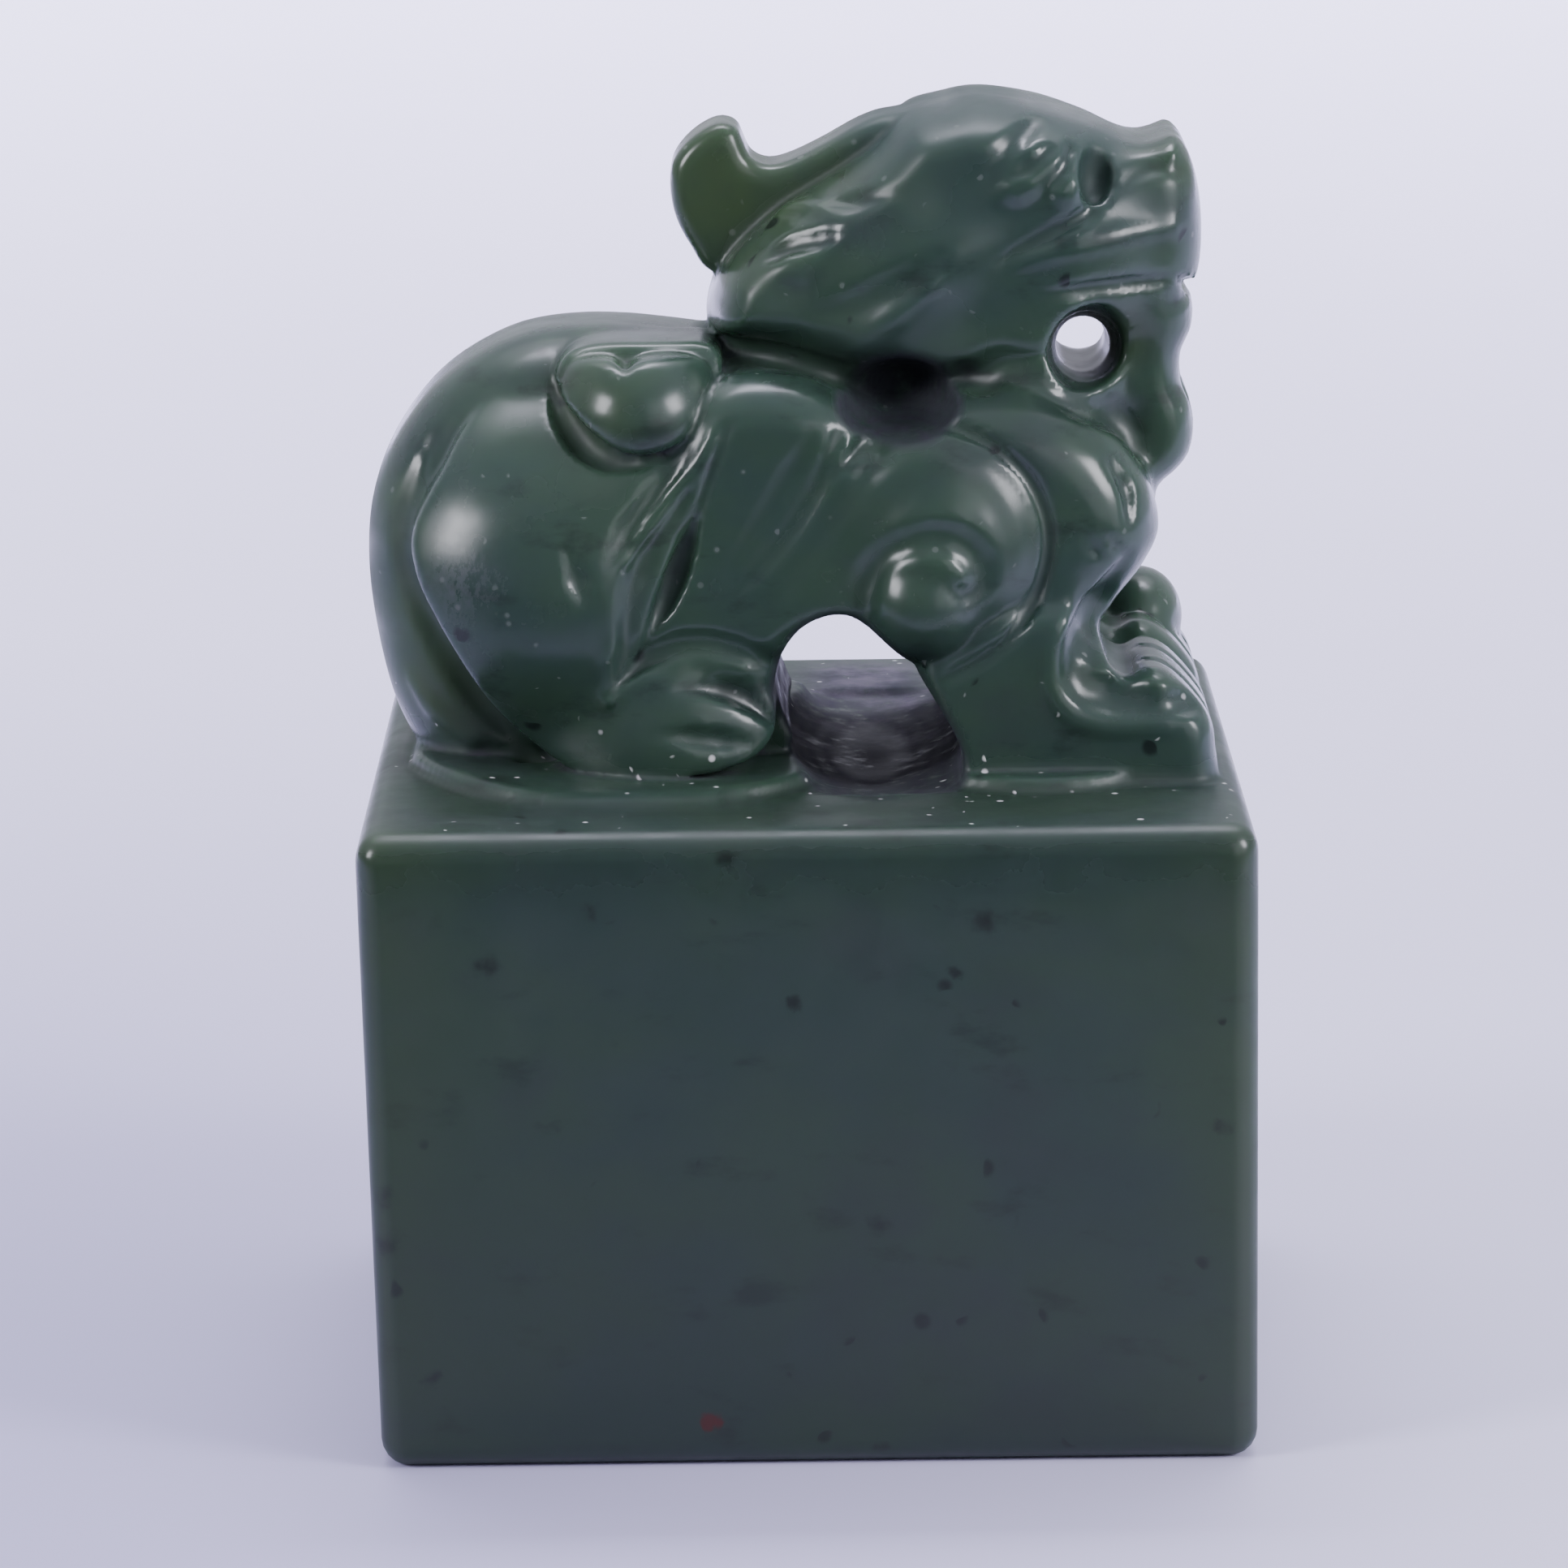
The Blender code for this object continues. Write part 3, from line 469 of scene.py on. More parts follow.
def head_lines(stone):
    """Mane, ear, brow, cheek, lips, the hollow of the eye and the beard."""
    gouge, welt = stone.gouge, stone.welt
    # lower lock of the mane and the neck under it
    welt([(2.2, 17.2), (3.6, 18.4), (5.0, 19.5)], [0.5, 0.8, 0.4], [0.05, 0.25, 0.05], 0.8)
    gouge([(0.6, 18.5), (2.4, 19.0), (4.0, 19.9), (5.3, 20.7)],
          [0.6, 1.1, 1.1, 0.5], [0.05, 0.3, 0.25, 0.03], 0.5)
    gouge([(-3.4, 17.1), (-1.7, 16.95), (0.2, 16.5), (1.7, 16.1)], [0.5, 0.6, 0.6], [0.15, 0.28, 0.25], 0.2)
    # ear
    welt([(-1.4, 21.3), (-0.6, 22.2), (0.6, 22.5), (1.7, 22.1)],
         [0.3, 0.5, 0.5, 0.3], [0.02, 0.12, 0.12, 0.02], 0.6)
    gouge([(-1.5, 20.5), (-0.6, 21.1), (0.5, 21.4), (1.6, 21.6)],
          [0.3, 0.8, 0.75, 0.3], [0.05, 0.4, 0.34, 0.03], 0.08)
    welt([(-1.0, 20.35), (-0.2, 20.45), (0.6, 20.75)], [0.3, 0.7, 0.3], [0.03, 0.15, 0.03], 0.3)
    # fork of the mane's upper edge
    gouge([(1.3, 22.7), (2.4, 22.9), (4.0, 23.3)], [0.3, 0.6, 0.3], [0.05, 0.2, 0.03], 0.3)
    # brow and the two leaves of the eyelid
    gouge([(7.4, 23.9), (8.2, 24.8), (9.4, 25.8)], [0.4, 0.8, 0.4], [0.03, 0.2, 0.05], 0.3)
    welt([(7.5, 22.9), (8.7, 23.5), (9.9, 24.2)], [0.3, 1.1, 0.3], [0.02, 0.42, 0.02], 0.3)
    welt([(9.9, 22.7), (10.6, 23.3), (11.1, 24.0)], [0.2, 0.8, 0.2], [0.02, 0.34, 0.02], 0.25)
    gouge([(7.7, 23.6), (8.9, 24.2), (9.9, 24.8)], [0.25, 0.5, 0.25], [0.03, 0.2, 0.03], 0.1)
    gouge([(9.8, 23.4), (10.3, 24.0), (10.7, 24.7)], [0.2, 0.35, 0.2], [0.03, 0.16, 0.03], 0.1)
    # snout, cheek, lip and mouth
    gouge([(12.7, 23.2), (14.0, 23.8), (15.2, 23.7)], [0.4, 0.6, 0.4], [0.03, 0.12, 0.03], 0.4)
    gouge([(11.5, 22.4), (10.3, 21.8), (9.0, 21.1), (7.6, 20.4)],
          [0.4, 0.5, 0.45, 0.3], [0.15, 0.28, 0.2, 0.03])
    welt([(11.4, 21.75), (10.3, 21.25), (9.0, 20.6)], [0.3, 0.3, 0.2], [0.12, 0.14, 0.03], 0.15)
    welt([(8.6, 20.4), (10.6, 20.9), (12.6, 21.35), (14.8, 21.55)],
         [0.3, 0.5, 0.6, 0.4], [0.03, 0.2, 0.28, 0.15], 0.4)
    gouge([(9.4, 19.15), (11.2, 19.3), (13.1, 19.4), (15.0, 19.5)], [0.2, 0.42, 0.42, 0.2],
          [0.04, 0.32, 0.32, 0.04], 0.08)
    # strands of the beard on the chest
    for shift in (0.0, 0.55):
        gouge([(12.3 + shift, 14.9 + shift), (13.3 + shift / 2, 13.7 + shift),
               (14.0 + shift / 2, 12.4 + shift)], [0.15, 0.28, 0.15], [0.03, 0.16, 0.03])


def front_lines(stone):
    """Nostrils and lips at the front of the muzzle, locks at the front of the beard, the toes' ends."""
    nostril = stone.ball_field((16.2, 1.4, 22.6), (0.75, 0.7, 0.45))
    stone.take(nostril, 0.2)
    lips = [(15.6, 0.0, 18.75, 0.35), (15.6, 2.3, 18.8, 0.35), (15.5, 3.6, 19.1, 0.3),
            (15.1, 4.4, 19.45, 0.2)]
    stone.take(stone.strand_field(np.array(lips)), 0.12)
    beard = [(15.6, 17.4), (15.4, 16.2), (15.4, 15.1), (15.75, 14.2), (15.9, 13.1), (15.6, 12.0),
             (14.9, 11.2)]
    paw = [(13.4, 4.6), (14.5, 4.45), (15.4, 3.65), (16.2, 2.55), (16.4, 1.4), (16.35, 0.6)]
    for side_view, places in ((beard, (0.9, 2.4)), (paw, (3.6, 6.4))):
        curve = smooth_line(side_view)
        radius = np.interp(np.linspace(0, 1, len(curve)), (0, 0.3, 0.7, 1), (0.15, 0.4, 0.4, 0.15))
        for u in places:
            rows = np.stack([curve[:, 0], np.full(len(curve), u), curve[:, 1], radius], -1)
            stone.take(stone.strand_field(rows))


def lay_on_streamer(stone):
    """The leaf-ended lock on the haunch, on a thin bed that is undercut along its rear edge."""
    bed = [(-9.9, 16.2), (-9.5, 16.9), (-8.7, 17.25), (-7.6, 17.35), (-6.4, 17.35), (-5.2, 17.35),
           (-4.0, 17.3), (-3.3, 16.8), (-3.4, 15.6), (-4.0, 14.6), (-4.8, 13.9), (-5.9, 13.6),
           (-7.1, 13.7), (-8.2, 14.2), (-9.1, 14.9), (-9.7, 15.6)]
    leaf = [(-9.75, 16.0), (-9.5, 16.55), (-8.9, 16.85), (-8.0, 16.95), (-7.5, 16.85), (-7.1, 16.6),
            (-6.7, 16.85), (-6.0, 17.0), (-5.0, 17.0), (-4.1, 16.8), (-3.55, 16.2), (-3.6, 15.3),
            (-4.1, 14.5), (-4.8, 13.9), (-5.7, 13.5), (-6.7, 13.4), (-7.6, 13.7), (-8.5, 14.3),
            (-9.3, 15.0), (-9.7, 15.5)]
    stone.gouge([(-10.1, 15.6), (-9.6, 14.6), (-8.8, 13.7), (-7.8, 13.1), (-6.4, 12.9)],
                [0.3, 0.55, 0.65, 0.55, 0.25], [0.1, 0.35, 0.55, 0.4, 0.05], 0.2)
    stone.add(stone.slab_field(bed, 4.6, 2.3, 0.3, 0.4, lean=-0.5), 0.2)
    crown = ((-6.6, 2.4, 14.5), (4.4, 7.2, 4.1))
    stone.add(stone.dome_field((leaf, 6.4, 4.0, 0.4, 0.55, -0.3), [crown], 0.4), 0.1)


def net(f, axes):
    """One point in each cell that the surface crosses, and one face across each crossed edge."""
    solid = f < 0
    shape = tuple(n - 1 for n in f.shape)
    count = np.zeros(shape, np.float32)
    total = np.zeros(shape + (3,), np.float64)
    crossings = []
    for axis in range(3):
        here = [slice(None)] * 3
        there = [slice(None)] * 3
        here[axis] = slice(0, -1)
        there[axis] = slice(1, None)
        a, b = f[tuple(here)], f[tuple(there)]
        index = np.nonzero(solid[tuple(here)] != solid[tuple(there)])
        t = a[index] / (a[index] - b[index])
        place = np.stack([axes[n][index[n]] for n in range(3)], -1).astype(float)
        place[:, axis] += t * (axes[axis][index[axis] + 1] - axes[axis][index[axis]])
        p, q = [n for n in range(3) if n != axis]
        ring = []
        for back_p, back_q in ((0, 0), (1, 0), (1, 1), (0, 1)):
            cell = list(index)
            cell[p] = cell[p] - back_p
            cell[q] = cell[q] - back_q
            ok = (cell[p] >= 0) & (cell[p] < shape[p]) & (cell[q] >= 0) & (cell[q] < shape[q])
            ring.append((tuple(cell), ok))
            held = tuple(c[ok] for c in cell)
            np.add.at(count, held, 1)
            np.add.at(total, held, place[ok])
        crossings.append((axis, solid[tuple(here)][index], ring))
    cells = np.nonzero(count)
    number = np.full(shape, -1)
    number[cells] = np.arange(len(cells[0]))
    points = total[cells] / count[cells][:, None]
    faces = []
    for axis, leaving, ring in crossings:
        whole = np.logical_and.reduce([ok for _, ok in ring])
        for outward in (True, False):
            pick = whole & (leaving == outward)
            quad = np.stack([number[tuple(c[pick] for c in cell)] for cell, _ in ring], -1)
            faces.append(quad if outward != (axis == 1) else quad[:, ::-1])
    return points, np.concatenate(faces), np.nonzero(cells[2] == 0)[0]


def sample(f, axes, places):
    """Read a field between its grid points."""
    low, share = [], []
    for axis, values in zip(axes, places.T):
        i = np.clip(np.searchsorted(axis, values) - 1, 0, len(axis) - 2)
        low.append(i)
        share.append(np.clip((values - axis[i]) / (axis[i + 1] - axis[i]), 0, 1))
    total = np.zeros(len(places))
    for corner in np.ndindex(2, 2, 2):
        weight = 1.0
        for s, bit in zip(share, corner):
            weight = weight * (s if bit else 1 - s)
        total += weight * f[tuple(i + bit for i, bit in zip(low, corner))]
    return total


def slope(f, axes, places, reach=0.15):
    """Which way a field rises fastest."""
    rows = []
    for n in range(3):
        step = np.zeros(3)
        step[n] = reach
        rows.append((sample(f, axes, places + step) - sample(f, axes, places - step)) / (2 * reach))
    return np.stack(rows, -1)


def even_out(points, faces, held, rounds=2):
    """Move each point halfway to the middle of its neighbours."""
    edges = np.concatenate([faces[:, [n, (n + 1) % 4]] for n in range(4)])
    edges = np.concatenate([edges, edges[:, ::-1]])
    count = np.bincount(edges[:, 0], minlength=len(points))[:, None]
    for _ in range(rounds):
        total = np.stack([np.bincount(edges[:, 0], points[edges[:, 1], n], len(points))
                          for n in range(3)], -1)
        moved = (points + total / np.maximum(count, 1)) / 2
        moved[held] = points[held]
        points = moved
    return points


def settle(f, axes, points, held, rounds=2):
    """Bring the points back onto the surface."""
    for _ in range(rounds):
        away = sample(f, axes, points)[:, None]
        up = slope(f, axes, points)
        step = away * up / np.maximum((up**2).sum(-1, keepdims=True), 0.2)
        step = np.clip(step, -0.2, 0.2)
        step[held] = 0
        points = points - step
    return points


def spread(f, reach, cell):
    """How full of stone the surroundings are, within about reach squares each way."""
    full = np.clip(0.5 - f / cell, 0, 1)
    n = max(int(round(reach / cell)), 1)
    size = 2 * n + 1
    for axis in range(3):
        for _ in range(2):
            padded = np.concatenate([np.repeat(full.take([0], axis), n + 1, axis), full,
                                     np.repeat(full.take([-1], axis), n, axis)], axis)
            total = np.cumsum(padded, axis, dtype=np.float64)
            high = total.take(range(size, total.shape[axis]), axis)
            low = total.take(range(0, total.shape[axis] - size), axis)
            full = ((high - low) / size).astype(np.float32)
    return full


def to_metres(points):
    """From the beast's grid to the frame."""
    scale = np.array([SQUARE_X, SQUARE_Y, SQUARE_Z])
    start = np.array([REAR - GRID_REAR * SQUARE_X, 0.0, BLOCK_HEIGHT])
    return points * scale + start


def close_block(points, faces, rim):
    """Draw the open lower rim down to the seal face and close it there."""
    rim = rim[np.argsort(np.arctan2(points[rim, 1], points[rim, 0]))]
    edge = points[rim]
    core = np.clip(edge[:, :2], [REAR + EDGE_RADIUS, SIDE + EDGE_RADIUS],
                   [-REAR - EDGE_RADIUS, -SIDE - EDGE_RADIUS])
    levels = [(height, 1.0) for height in np.linspace(edge[0, 2], EDGE_RADIUS, WALL_ROWS + 1)[1:]]
    for angle in np.radians(np.arange(EDGE_TURN, 90, EDGE_TURN)):
        levels.append((EDGE_RADIUS * (1 - math.sin(angle)), math.cos(angle)))
    levels.append((0.0, FLAT_FACE_REACH))
    rows = [points]
    added = []
    above = rim
    count = len(points)
    for height, reach in levels:
        rows.append(np.concatenate([core + (edge[:, :2] - core) * reach, np.full((len(rim), 1), height)], 1))
        below = np.arange(count, count + len(rim))
        count += len(rim)
        added.append(np.stack([above, below, np.roll(below, -1), np.roll(above, -1)], -1))
        above = below
    points = np.concatenate(rows)
    back = np.clip(points[:, 0] / REAR, 0, 1)
    down = np.clip(1 - points[:, 2] / BLOCK_HEIGHT, 0, 1)
    points[:, 0] += REAR_LEAN * back * down
    return points, np.concatenate([faces] + added).tolist() + [above[::-1].tolist()]


# Where the stone is painted clearer and yellower, partly a painted glow of light through thin stone, and
# where it was left dull: x, z and reach on the grid, strength
GLOW_AND_CLEAR_SPOTS = ((-3.8, 22.8, 2.9, 0.8), (-1.2, 22.8, 1.9, 0.6), (0.9, 23.9, 1.5, 0.5), (-8.2, 15.3, 1.6, 0.4),
               (-17.2, 10.0, 1.9, 0.35), (-16.8, 6.4, 1.9, 0.35), (-15.4, 3.4, 1.8, 0.35),
               (15.0, 24.6, 1.7, 0.45), (12.9, 17.2, 1.2, 0.4), (15.6, 5.6, 1.6, 0.3))
DULL_SPOTS = ((-17.0, 10.4, 1.6, 1.0), (-16.8, 7.4, 1.7, 1.0), (-15.6, 4.4, 1.7, 1.0), (-13.8, 2.4, 1.4, 1.0),
              (2.2, 17.4, 1.7, 0.8), (5.0, 17.2, 1.7, 0.8), (11.9, 24.1, 0.9, 1.0), (-8.2, 12.6, 1.2, 0.5),
              (4.0, 25.0, 2.0, 0.7), (7.2, 26.2, 1.3, 0.6), (13.8, 22.9, 1.0, 0.9), (4.7, 23.2, 1.0, 0.8),
              (-1.0, 19.3, 1.2, 0.8))
# The block's top behind the arch is soiled too and painted in shade under the arch: from how far out to where
# it has faded
BEHIND_ARCH = (2.6, 0.0, 2.6, 0.8)
SHADE_AND_SOIL_FROM = 4
SHADE_AND_SOIL_TO = 17
SHADE_AND_SOIL_FADE = 3
# How near a drilled wall the stone is unpolished, and from how far around hollows and thin places show,
# hollows as painted shade and thin places as a painted glow
DRILLED_REACH = 0.35
HOLLOW_REACH = 0.45
THIN_REACH = 2.4


def spots(points, places):
    """How strongly each point is in one of some places in side view; each fades beyond its reach."""
    shares = [strength * np.clip(1.5 - np.hypot(points[:, 0] - x, points[:, 2] - z) / reach, 0, 1)
              for x, z, reach, strength in places]
    return np.maximum.reduce(shares)


def carve():
    """The whole stone: its points and faces, and the measures that its finish reads."""
    cell = CELL
    stone = Stone(cell)
    rough_out(stone)
    rump_lines(stone)
    flank_lines(stone)
    shoulder_lines(stone)
    head_lines(stone)
    front_lines(stone)
    drill_openings(stone)
    far = copy.copy(stone)
    far.f = stone.f.copy()
    # the far paw is rounder
    far.add(far.ball_field((14.0, 6.4, 3.8), (1.8, 2.8, 2.0)))
    lay_on_streamer(stone)
    whole = np.concatenate([stone.f[:, :0:-1, :], far.f], 1)
    drilled = np.concatenate([stone.drilled[:, :0:-1, :], stone.drilled], 1)
    axes = (stone.x, np.concatenate([-stone.u[:0:-1], stone.u]), stone.z)
    points, faces, rim = net(whole, axes)
    points = settle(whole, axes, even_out(points, faces, rim), rim)
    out, up = points[:, 1], points[:, 2]
    # soil and painted shade on the block's top under and behind the arch
    behind = (spots(points, [BEHIND_ARCH]) * (out > SHADE_AND_SOIL_FROM) * (up > -0.3)
              * np.clip((SHADE_AND_SOIL_TO - out) / SHADE_AND_SOIL_FADE, 0, 1))
    measures = {
        "hollow": sample(spread(whole, HOLLOW_REACH, cell), axes, points) - 0.5,
        "thin": 0.5 - sample(spread(whole, THIN_REACH, cell), axes, points),
        "drilled": np.maximum(np.clip(1 - sample(drilled, axes, points) / DRILLED_REACH, 0, 1), behind),
        "clear": spots(points, GLOW_AND_CLEAR_SPOTS),
        "dull": spots(points, DULL_SPOTS),
    }
    points, faces = close_block(to_metres(points), faces, rim)
    return points, faces, measures


def stone_piece():
    """The carving as one closed mesh, with its measures at each point."""
    points, faces, measures = carve()
    points = np.clip(points, *CAD_BOX)
    mesh = bpy.data.meshes.new("jade_seal_carving")
    mesh.from_pydata(points, [], faces)
    for name, values in measures.items():
        everywhere = np.zeros(len(points), np.float32)
        everywhere[:len(values)] = values
        mesh.attributes.new(name, "FLOAT", "POINT").data.foreach_set("value", everywhere)
    mesh.shade_smooth()
    mesh.update()
    piece = bpy.data.objects.new("jade_seal_carving", mesh)
    bpy.context.scene.collection.objects.link(piece)
    return piece


class Paint:
    """Short forms for the shader nodes of one material."""

    def __init__(self, name):
        self.material = bpy.data.materials.new(name)
        self.material.use_nodes = True
        self.tree = self.material.node_tree
        self.tree.nodes.clear()

    def add(self, kind, inputs, **settings):
        """A node; an input that is another node's output is linked, any other is set."""
        made = self.tree.nodes.new("ShaderNode" + kind)
        for name, value in settings.items():
            setattr(made, name, value)
        for name, value in inputs.items():
            if isinstance(value, bpy.types.NodeSocket):
                self.tree.links.new(value, made.inputs[name])
            else:
                made.inputs[name].default_value = value
        return made

    def math(self, operation, a, b=0.0, clamp=False):
        return self.add("Math", {0: a, 1: b}, operation=operation, use_clamp=clamp).outputs[0]

    def times(self, *values):
        total = values[0]
        for value in values[1:]:
            total = self.math("MULTIPLY", total, value)
        return total

    def plus(self, *values):
        """The sum, never more than 1."""
        total = values[0]
        for value in values[1:]:
            total = self.math("ADD", total, value, True)
        return total

    def most(self, *values):
        total = values[0]
        for value in values[1:]:
            total = self.math("MAXIMUM", total, value)
        return total

    def band(self, value, low, high, start=0.0, end=1.0):
        """Goes smoothly from start to end as value goes from low to high."""
        return self.add("MapRange", {"Value": value, "From Min": low, "From Max": high, "To Min": start,
                                     "To Max": end}, interpolation_type="SMOOTHSTEP").outputs[0]

    def mix(self, share, a, b):
        return self.add("Mix", {0: share, 6: a, 7: b}, data_type="RGBA").outputs[2]

    def stretched(self, place, scale):
        return self.add("Mapping", {"Vector": place, "Scale": scale}).outputs[0]

    def noise(self, place, scale, detail=3.0, rough=0.5):
        return self.add("TexNoise", {"Vector": place, "Scale": scale, "Detail": detail,
                                     "Roughness": rough}).outputs["Fac"]

    def dots(self, place, scale, low, high):
        """1 at scattered dots, 0 between them."""
        cells = self.add("TexVoronoi", {"Vector": place, "Scale": scale, "Randomness": 1.0})
        return self.band(cells.outputs["Distance"], low, high, 1, 0)

    def along(self, place, axis):
        return self.add("SeparateXYZ", {0: place}).outputs[axis]

    def near(self, place, centre, reach, edge=0.5):
        """1 within reach of a place, 0 beyond it."""
        away = self.add("VectorMath", {0: place, 1: centre}, operation="DISTANCE").outputs["Value"]
        return self.band(away, reach * (1 - edge), reach, 1, 0)

    def measure(self, name):
        return self.add("Attribute", {}, attribute_name=name).outputs["Fac"]

    def finish(self, inputs):
        """The material, with a surface that has these inputs."""
        surface = self.add("BsdfPrincipled", inputs).outputs[0]
        self.add("OutputMaterial", {"Surface": surface})
        return self.material


def rgb(red, green, blue):
    """A colour given as screen values from 0 to 255."""
    shares = [value / 255 for value in (red, green, blue)]
    return tuple(s / 12.92 if s <= 0.04045 else ((s + 0.055) / 1.055) ** 2.4 for s in shares) + (1.0,)


SPINACH = rgb(49, 70, 57)
BLUISH = rgb(46, 65, 60)
PLUM = rgb(48, 60, 59)
MOSS = rgb(62, 80, 48)
INKY = rgb(12, 17, 19)
BLOCK_SHADE_GREEN = rgb(13, 23, 8)
EARTH = rgb(62, 58, 76)
SOOT = rgb(112, 104, 122)
HOLE_SHADE = rgb(40, 39, 51)
CHALK = rgb(196, 196, 196)
CINNABAR = rgb(96, 26, 26)

# Dark inclusions near the front face: across from the middle, up from the seal face, reach
SPECKS = ((-0.0083, 0.0224, 0.0004), (-0.0124, 0.0204, 0.0005), (-0.0031, 0.0245, 0.0005),
          (0.0068, 0.0218, 0.0005), (-0.0006, 0.0188, 0.0003), (-0.0099, 0.0139, 0.0003),
          (0.0161, 0.0136, 0.0004), (0.0027, 0.0098, 0.0005), (-0.0167, 0.0112, 0.0006),
          (-0.0167, 0.0092, 0.0006), (-0.0149, 0.0038, 0.0004), (0.0026, 0.0007, 0.0003),
          (0.0056, 0.0199, 0.0003))
PASTE_SPECK = (-0.0040, 0.0019, 0.0005)
# How far a place is shaken for ragged edges, always toward the plus side
SHAKE = 0.001
# Scuffs on the haunch, in the frame
SCUFF = (-0.0131, -0.0095, 0.0346)
SCUFF_REACH = 0.0024

# How fine each pattern of the stone is, in repeats per metre
CLOUDS = 95
SHADES = 140
WISPS = 240
WAVES = 260
FLECKS = 420
HAZE = 500
CRUMBS = 900
GRAINS = 1100
GRIT = 1500
DUST = 1600
SCRATCHES = 3400

# Heights between which the finish changes: the satin block front ends, the ledge around the top, the
# beast's own colour, the ring of dust, painted hole shade in the upper drillings; and how far back that
# painted shade goes in the arch
EDGE_FINISH = (BLOCK_HEIGHT - 0.004, BLOCK_HEIGHT - 0.001)
LEDGE_START = (BLOCK_HEIGHT - 0.0008, BLOCK_HEIGHT - 0.0001)
LEDGE_END = (BLOCK_HEIGHT + 0.0003, BLOCK_HEIGHT + 0.001)
BEAST_START = (BLOCK_HEIGHT - 0.0002, BLOCK_HEIGHT + 0.0008)
DUST_START = (BLOCK_HEIGHT - 0.0003, BLOCK_HEIGHT)
DUST_END = (BLOCK_HEIGHT + 0.001, BLOCK_HEIGHT + 0.006)
HOLE_SHADE_START = (BLOCK_HEIGHT + 0.008, BLOCK_HEIGHT + 0.012)
HOLE_SHADE_FRONT = (-0.010, 0.002)


def speck_place(across, up):
    """Where an inclusion's middle lies, once the shaking is allowed for."""
    return across + SHAKE / 2, SIDE + SHAKE / 2, up + SHAKE / 2


def jade_colour(paint, place, height, shaken, fine, wisps, thin, clear):
    """Clouded green with darker wisps, clearer spots and dark inclusions; the block's side edges and the thin
    parts are painted lighter and yellower, a painted glow of light through the stone.
    """
    clouds = paint.noise(paint.stretched(place, (1, 1, 1.5)), CLOUDS, 4, 0.55)
    shade = paint.noise(paint.stretched(place, (0.8, 1, 1)), SHADES, 3, 0.6)
    colour = paint.mix(paint.band(clouds, 0.38, 0.62), BLUISH, SPINACH)
    colour = paint.mix(paint.band(shade, 0.52, 0.7, 0.0, 0.7), colour, PLUM)
    colour = paint.mix(paint.times(paint.band(wisps, 0.56, 0.74), 0.5), colour, INKY)
    # painted light: the block is painted yellower near its side edges, standing for light that leaks through
    # them
    sideways = paint.math("ABSOLUTE", paint.along(place, "X"))
    rim = paint.times(paint.band(sideways, 0.35 * BLOCK_WIDTH, 0.5 * BLOCK_WIDTH, 0.0, 0.35),
                      paint.band(height, BLOCK_HEIGHT - 0.001, BLOCK_HEIGHT, 1, 0))
    # painted glow: thin parts, the block's side edges and the clearer spots are painted mossy, standing for
    # light through the stone
    glow_and_clear = paint.most(rim, clear, paint.band(thin, 0.15, 0.42, 0.0, 0.7))
    colour = paint.mix(paint.times(glow_and_clear, paint.band(clouds, 0.3, 0.6, 0.6, 1.0)), colour, MOSS)
    speck = paint.times(paint.dots(place, FLECKS, 0.10, 0.2),
                        paint.band(paint.noise(place, CRUMBS, 0), 0.62, 0.66))
    for across, up, reach in SPECKS:
        speck = paint.most(speck, paint.near(shaken, speck_place(across, up), 1.3 * reach, 0.9))
    colour = paint.mix(paint.times(speck, paint.band(fine, 0.3, 0.6, 0.25, 0.8)), colour, INKY)
    across, up, reach = PASTE_SPECK
    return paint.mix(paint.near(shaken, speck_place(across, up), reach), colour, CINNABAR)


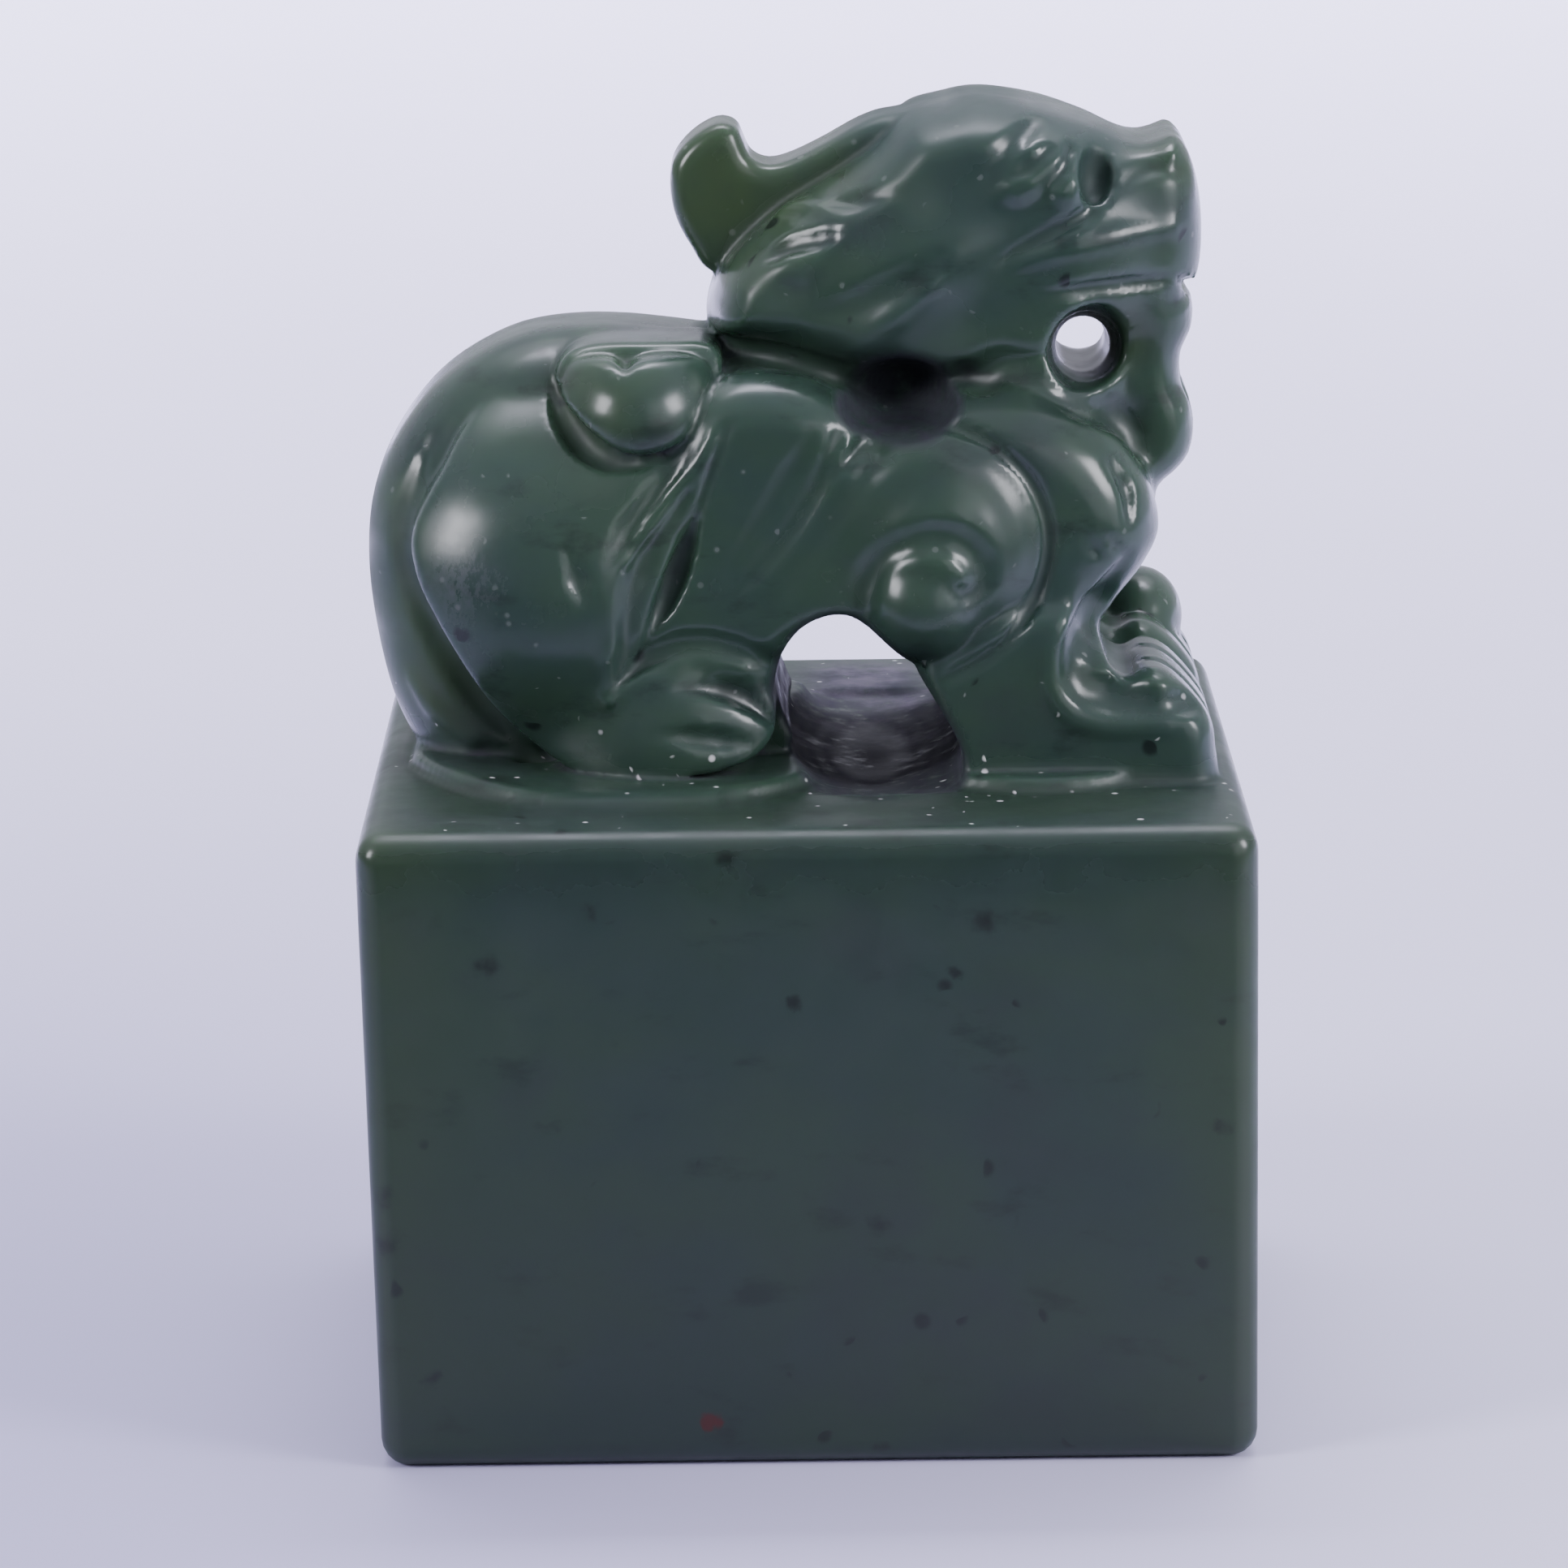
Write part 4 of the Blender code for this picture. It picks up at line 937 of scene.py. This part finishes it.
def jade_material():
    """Polished nephrite, dull and soiled where it was only drilled, with painted shade in hollows, holes and
    the block's lower walls, dusty around the feet.
    """
    paint = Paint("polished_jade")
    place = paint.add("NewGeometry", {}).outputs["Position"]
    height = paint.along(place, "Z")
    hollow, thin, drilled, clear, dull = (paint.measure(name)
                                          for name in ("hollow", "thin", "drilled", "clear", "dull"))
    fine = paint.noise(place, CRUMBS, 4, 0.6)
    wisps = paint.noise(paint.stretched(place, (1, 1, 2.2)), WISPS, 5, 0.6)
    shake = paint.add("TexNoise", {"Vector": place, "Scale": GRIT, "Detail": 3.0}).outputs["Color"]
    shake = paint.add("VectorMath", {0: shake, 3: SHAKE}, operation="SCALE").outputs[0]
    shaken = paint.add("VectorMath", {0: place, 1: shake}, operation="ADD").outputs[0]

    jade = jade_colour(paint, place, height, shaken, fine, wisps, thin, clear)
    # painted shade: the block is painted darker than the beast, most of all at its foot
    depth = paint.band(height, 0.1 * BLOCK_HEIGHT, 0.8 * BLOCK_HEIGHT, 0.62, 0.34)
    colour = paint.mix(paint.band(height, *BEAST_START), paint.mix(depth, jade, BLOCK_SHADE_GREEN), jade)
    # soil in the drillings, soil and painted shade in the deepest lines and hollows; the upper drillings and
    # the front of the arch get a darker painted shade
    dirt_and_shade = paint.most(paint.times(drilled, paint.band(fine, 0.2, 0.5)),
                      paint.times(paint.band(hollow, 0.12, 0.26), paint.band(fine, 0.4, 0.6), 0.6))
    soil_and_shade = paint.mix(paint.band(wisps, 0.45, 0.65), EARTH, SOOT)
    soil_and_shade = paint.mix(paint.band(height, *HOLE_SHADE_START), soil_and_shade, HOLE_SHADE)
    soil_and_shade = paint.mix(paint.band(paint.along(place, "Y"), *HOLE_SHADE_FRONT), HOLE_SHADE, soil_and_shade)
    colour = paint.mix(dirt_and_shade, colour, soil_and_shade)
    # white dust around the feet
    low = paint.times(paint.band(height, *DUST_START), paint.band(height, *DUST_END, 1.0, 0.1))
    dust = paint.times(paint.dots(place, GRAINS, 0.08, 0.2), low,
                       paint.band(paint.noise(place, DUST, 0), 0.60, 0.64))
    colour = paint.mix(dust, colour, CHALK)
    # scuffs on the haunch
    scratches = paint.noise(paint.stretched(place, (1, 1, 0.6)), SCRATCHES, 5, 0.75)
    scuff = paint.times(paint.near(shaken, SCUFF, SCUFF_REACH, 0.9), paint.band(scratches, 0.35, 0.65))
    colour = paint.mix(paint.times(scuff, 0.2), colour, SOOT)

    ledge = paint.times(paint.band(height, *LEDGE_START), paint.band(height, *LEDGE_END, 1, 0))
    roughness = paint.plus(
        paint.band(paint.noise(place, HAZE, 4), 0.3, 0.7, 0.2, 0.28),
        paint.times(paint.band(hollow, 0.02, 0.2), 0.25),
        paint.times(scuff, 0.14),
        paint.times(dull, 0.3),
        paint.band(height, *EDGE_FINISH, 0.15, 0.0),
        paint.times(ledge, 0.2),
        paint.times(paint.most(dirt_and_shade, dust), 0.5))
    coarse = paint.times(paint.math("ADD", drilled, 0.02), paint.noise(place, GRIT, 4, 0.6))
    grain = paint.add("Bump", {"Strength": 0.5, "Distance": 0.00003, "Height": coarse}).outputs[0]
    polish = paint.add("Bump", {"Strength": 0.2, "Distance": 0.00012, "Normal": grain,
                                "Height": paint.noise(place, WAVES, 2)}).outputs[0]
    return paint.finish({
        "Base Color": colour, "Roughness": roughness, "Normal": polish, "IOR": 1.61,
        "Specular IOR Level": 0.34, "Subsurface Weight": 0.55, "Subsurface Radius": (0.55, 1.0, 0.6),
        "Subsurface Scale": 0.0025})


# The table: its colours, where they change, and half its side
TABLE_LEFT_SHADE = rgb(184, 178, 222)
TABLE_RIGHT = rgb(228, 224, 255)
TABLE_FAR = rgb(228, 223, 255)
TABLE_NEAR_SHADE = rgb(66, 70, 66)
TABLE_CLOUD = rgb(150, 150, 165)
LEFT_TO_RIGHT = (-0.05, 0.05)
MIDDLE_TO_FAR = (-0.02, 0.16)
NEAR_TO_MIDDLE = (-0.11, -0.029)
TABLE_REACH = 1.5


def table():
    """The pale table, well past the view, with painted shade on its left and a dark painted patch before the
    block, which mirrors it.
    """
    paint = Paint("pale_table")
    place = paint.add("NewGeometry", {}).outputs["Position"]
    deep = paint.along(place, "Y")
    # painted shade: the table's left is painted darker than its right, except far back
    tone = paint.mix(paint.band(paint.along(place, "X"), *LEFT_TO_RIGHT), TABLE_LEFT_SHADE, TABLE_RIGHT)
    tone = paint.mix(paint.band(deep, *MIDDLE_TO_FAR), tone, TABLE_FAR)
    # painted shade: the table before the block is painted dark, for the block to mirror
    tone = paint.mix(paint.band(deep, *NEAR_TO_MIDDLE), TABLE_NEAR_SHADE, tone)
    tone = paint.mix(paint.times(paint.noise(place, 30, 2), 0.05), tone, TABLE_CLOUD)
    mesh = bpy.data.meshes.new("table")
    corners = [(x * TABLE_REACH, y * TABLE_REACH, 0) for x, y in ((-1, -1), (1, -1), (1, 1), (-1, 1))]
    mesh.from_pydata(corners, [], [(0, 1, 2, 3)])
    floor = bpy.data.objects.new("table", mesh)
    bpy.context.scene.collection.objects.link(floor)
    mesh.materials.append(paint.finish({"Base Color": tone, "Roughness": 0.55}))


def camera():
    """The camera, fitted to the corners of the block."""
    data = bpy.data.cameras.new("camera")
    data.sensor_width = SENSOR
    data.lens = LENS
    data.clip_start = 0.001
    obj = bpy.data.objects.new("camera", data)
    bpy.context.scene.collection.objects.link(obj)
    height = math.radians(CAMERA_HEIGHT_ANGLE)
    back = Vector((0, -math.cos(height), math.sin(height)))
    obj.location = AIM + back * CAMERA_DISTANCE
    obj.rotation_mode = "QUATERNION"
    roll = Quaternion((0, 0, 1), math.radians(CAMERA_ROLL))
    obj.rotation_quaternion = (-back).to_track_quat("-Z", "Y") @ roll
    bpy.context.scene.camera = obj


# Softboxes: name, place, aim, size, watts, spread in degrees, colour
COOL = (0.94, 0.93, 1.0)
LAVENDER = (0.86, 0.85, 1.0)
BOXES = (("left_box", (-0.52, -0.28, 0.32), (0, 0, 0.03), (0.2, 0.25), 3.1, 180, COOL),
         ("right_box", (0.52, -0.28, 0.32), (0, 0, 0.03), (0.2, 0.25), 3.1, 180, COOL),
         ("right_fill", (0.38, -0.42, 0.2), (0, 0, 0.04), (0.5, 0.5), 0.9, 180, COOL),
         ("sky_box", (0.0, 0.7, 1.4), (0, 0.35, 0.0), (1.6, 1.0), 5.6, 180, COOL),
         ("table_box", (0.1, 0.75, 1.3), (0.1, 0.75, 0.0), (1.6, 0.7), 22.0, 60, LAVENDER))
# The room around: its colour, which way it is bright, and how bright from there to behind the camera
ROOM = rgb(222, 222, 240)
BRIGHT_SIDE = (0.4, 0.68, 0.58)
ROOM_RANGE = {"From Min": -0.5, "From Max": 0.6, "To Min": 0.38, "To Max": 1.1}


def softbox(name, place, aim, size, power, spread, colour):
    data = bpy.data.lights.new(name, "AREA")
    data.spread = math.radians(spread)
    data.shape = "RECTANGLE"
    data.size, data.size_y = size
    data.energy = power
    data.color = colour
    obj = bpy.data.objects.new(name, data)
    bpy.context.scene.collection.objects.link(obj)
    obj.location = place
    obj.rotation_mode = "QUATERNION"
    obj.rotation_quaternion = (Vector(aim) - Vector(place)).to_track_quat("-Z", "Y")


def light():
    """Soft boxes at both sides and above, in a pale room."""
    for box in BOXES:
        softbox(*box)
    world = bpy.data.worlds.new("studio")
    world.use_nodes = True
    tree = world.node_tree
    back = tree.nodes["Background"]
    direction = tree.nodes.new("ShaderNodeTexCoord").outputs["Generated"]
    toward = tree.nodes.new("ShaderNodeVectorMath")
    toward.operation = "DOT_PRODUCT"
    tree.links.new(direction, toward.inputs[0])
    toward.inputs[1].default_value = BRIGHT_SIDE
    tone = tree.nodes.new("ShaderNodeMapRange")
    tone.interpolation_type = "SMOOTHSTEP"
    tree.links.new(toward.outputs["Value"], tone.inputs["Value"])
    for name, value in ROOM_RANGE.items():
        tone.inputs[name].default_value = value
    tree.links.new(tone.outputs[0], back.inputs["Strength"])
    back.inputs["Color"].default_value = ROOM
    bpy.context.scene.world = world


piece = stone_piece()
piece.data.materials.append(jade_material())
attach(piece, "root")
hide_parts("jade_seal")
table()
camera()
light()
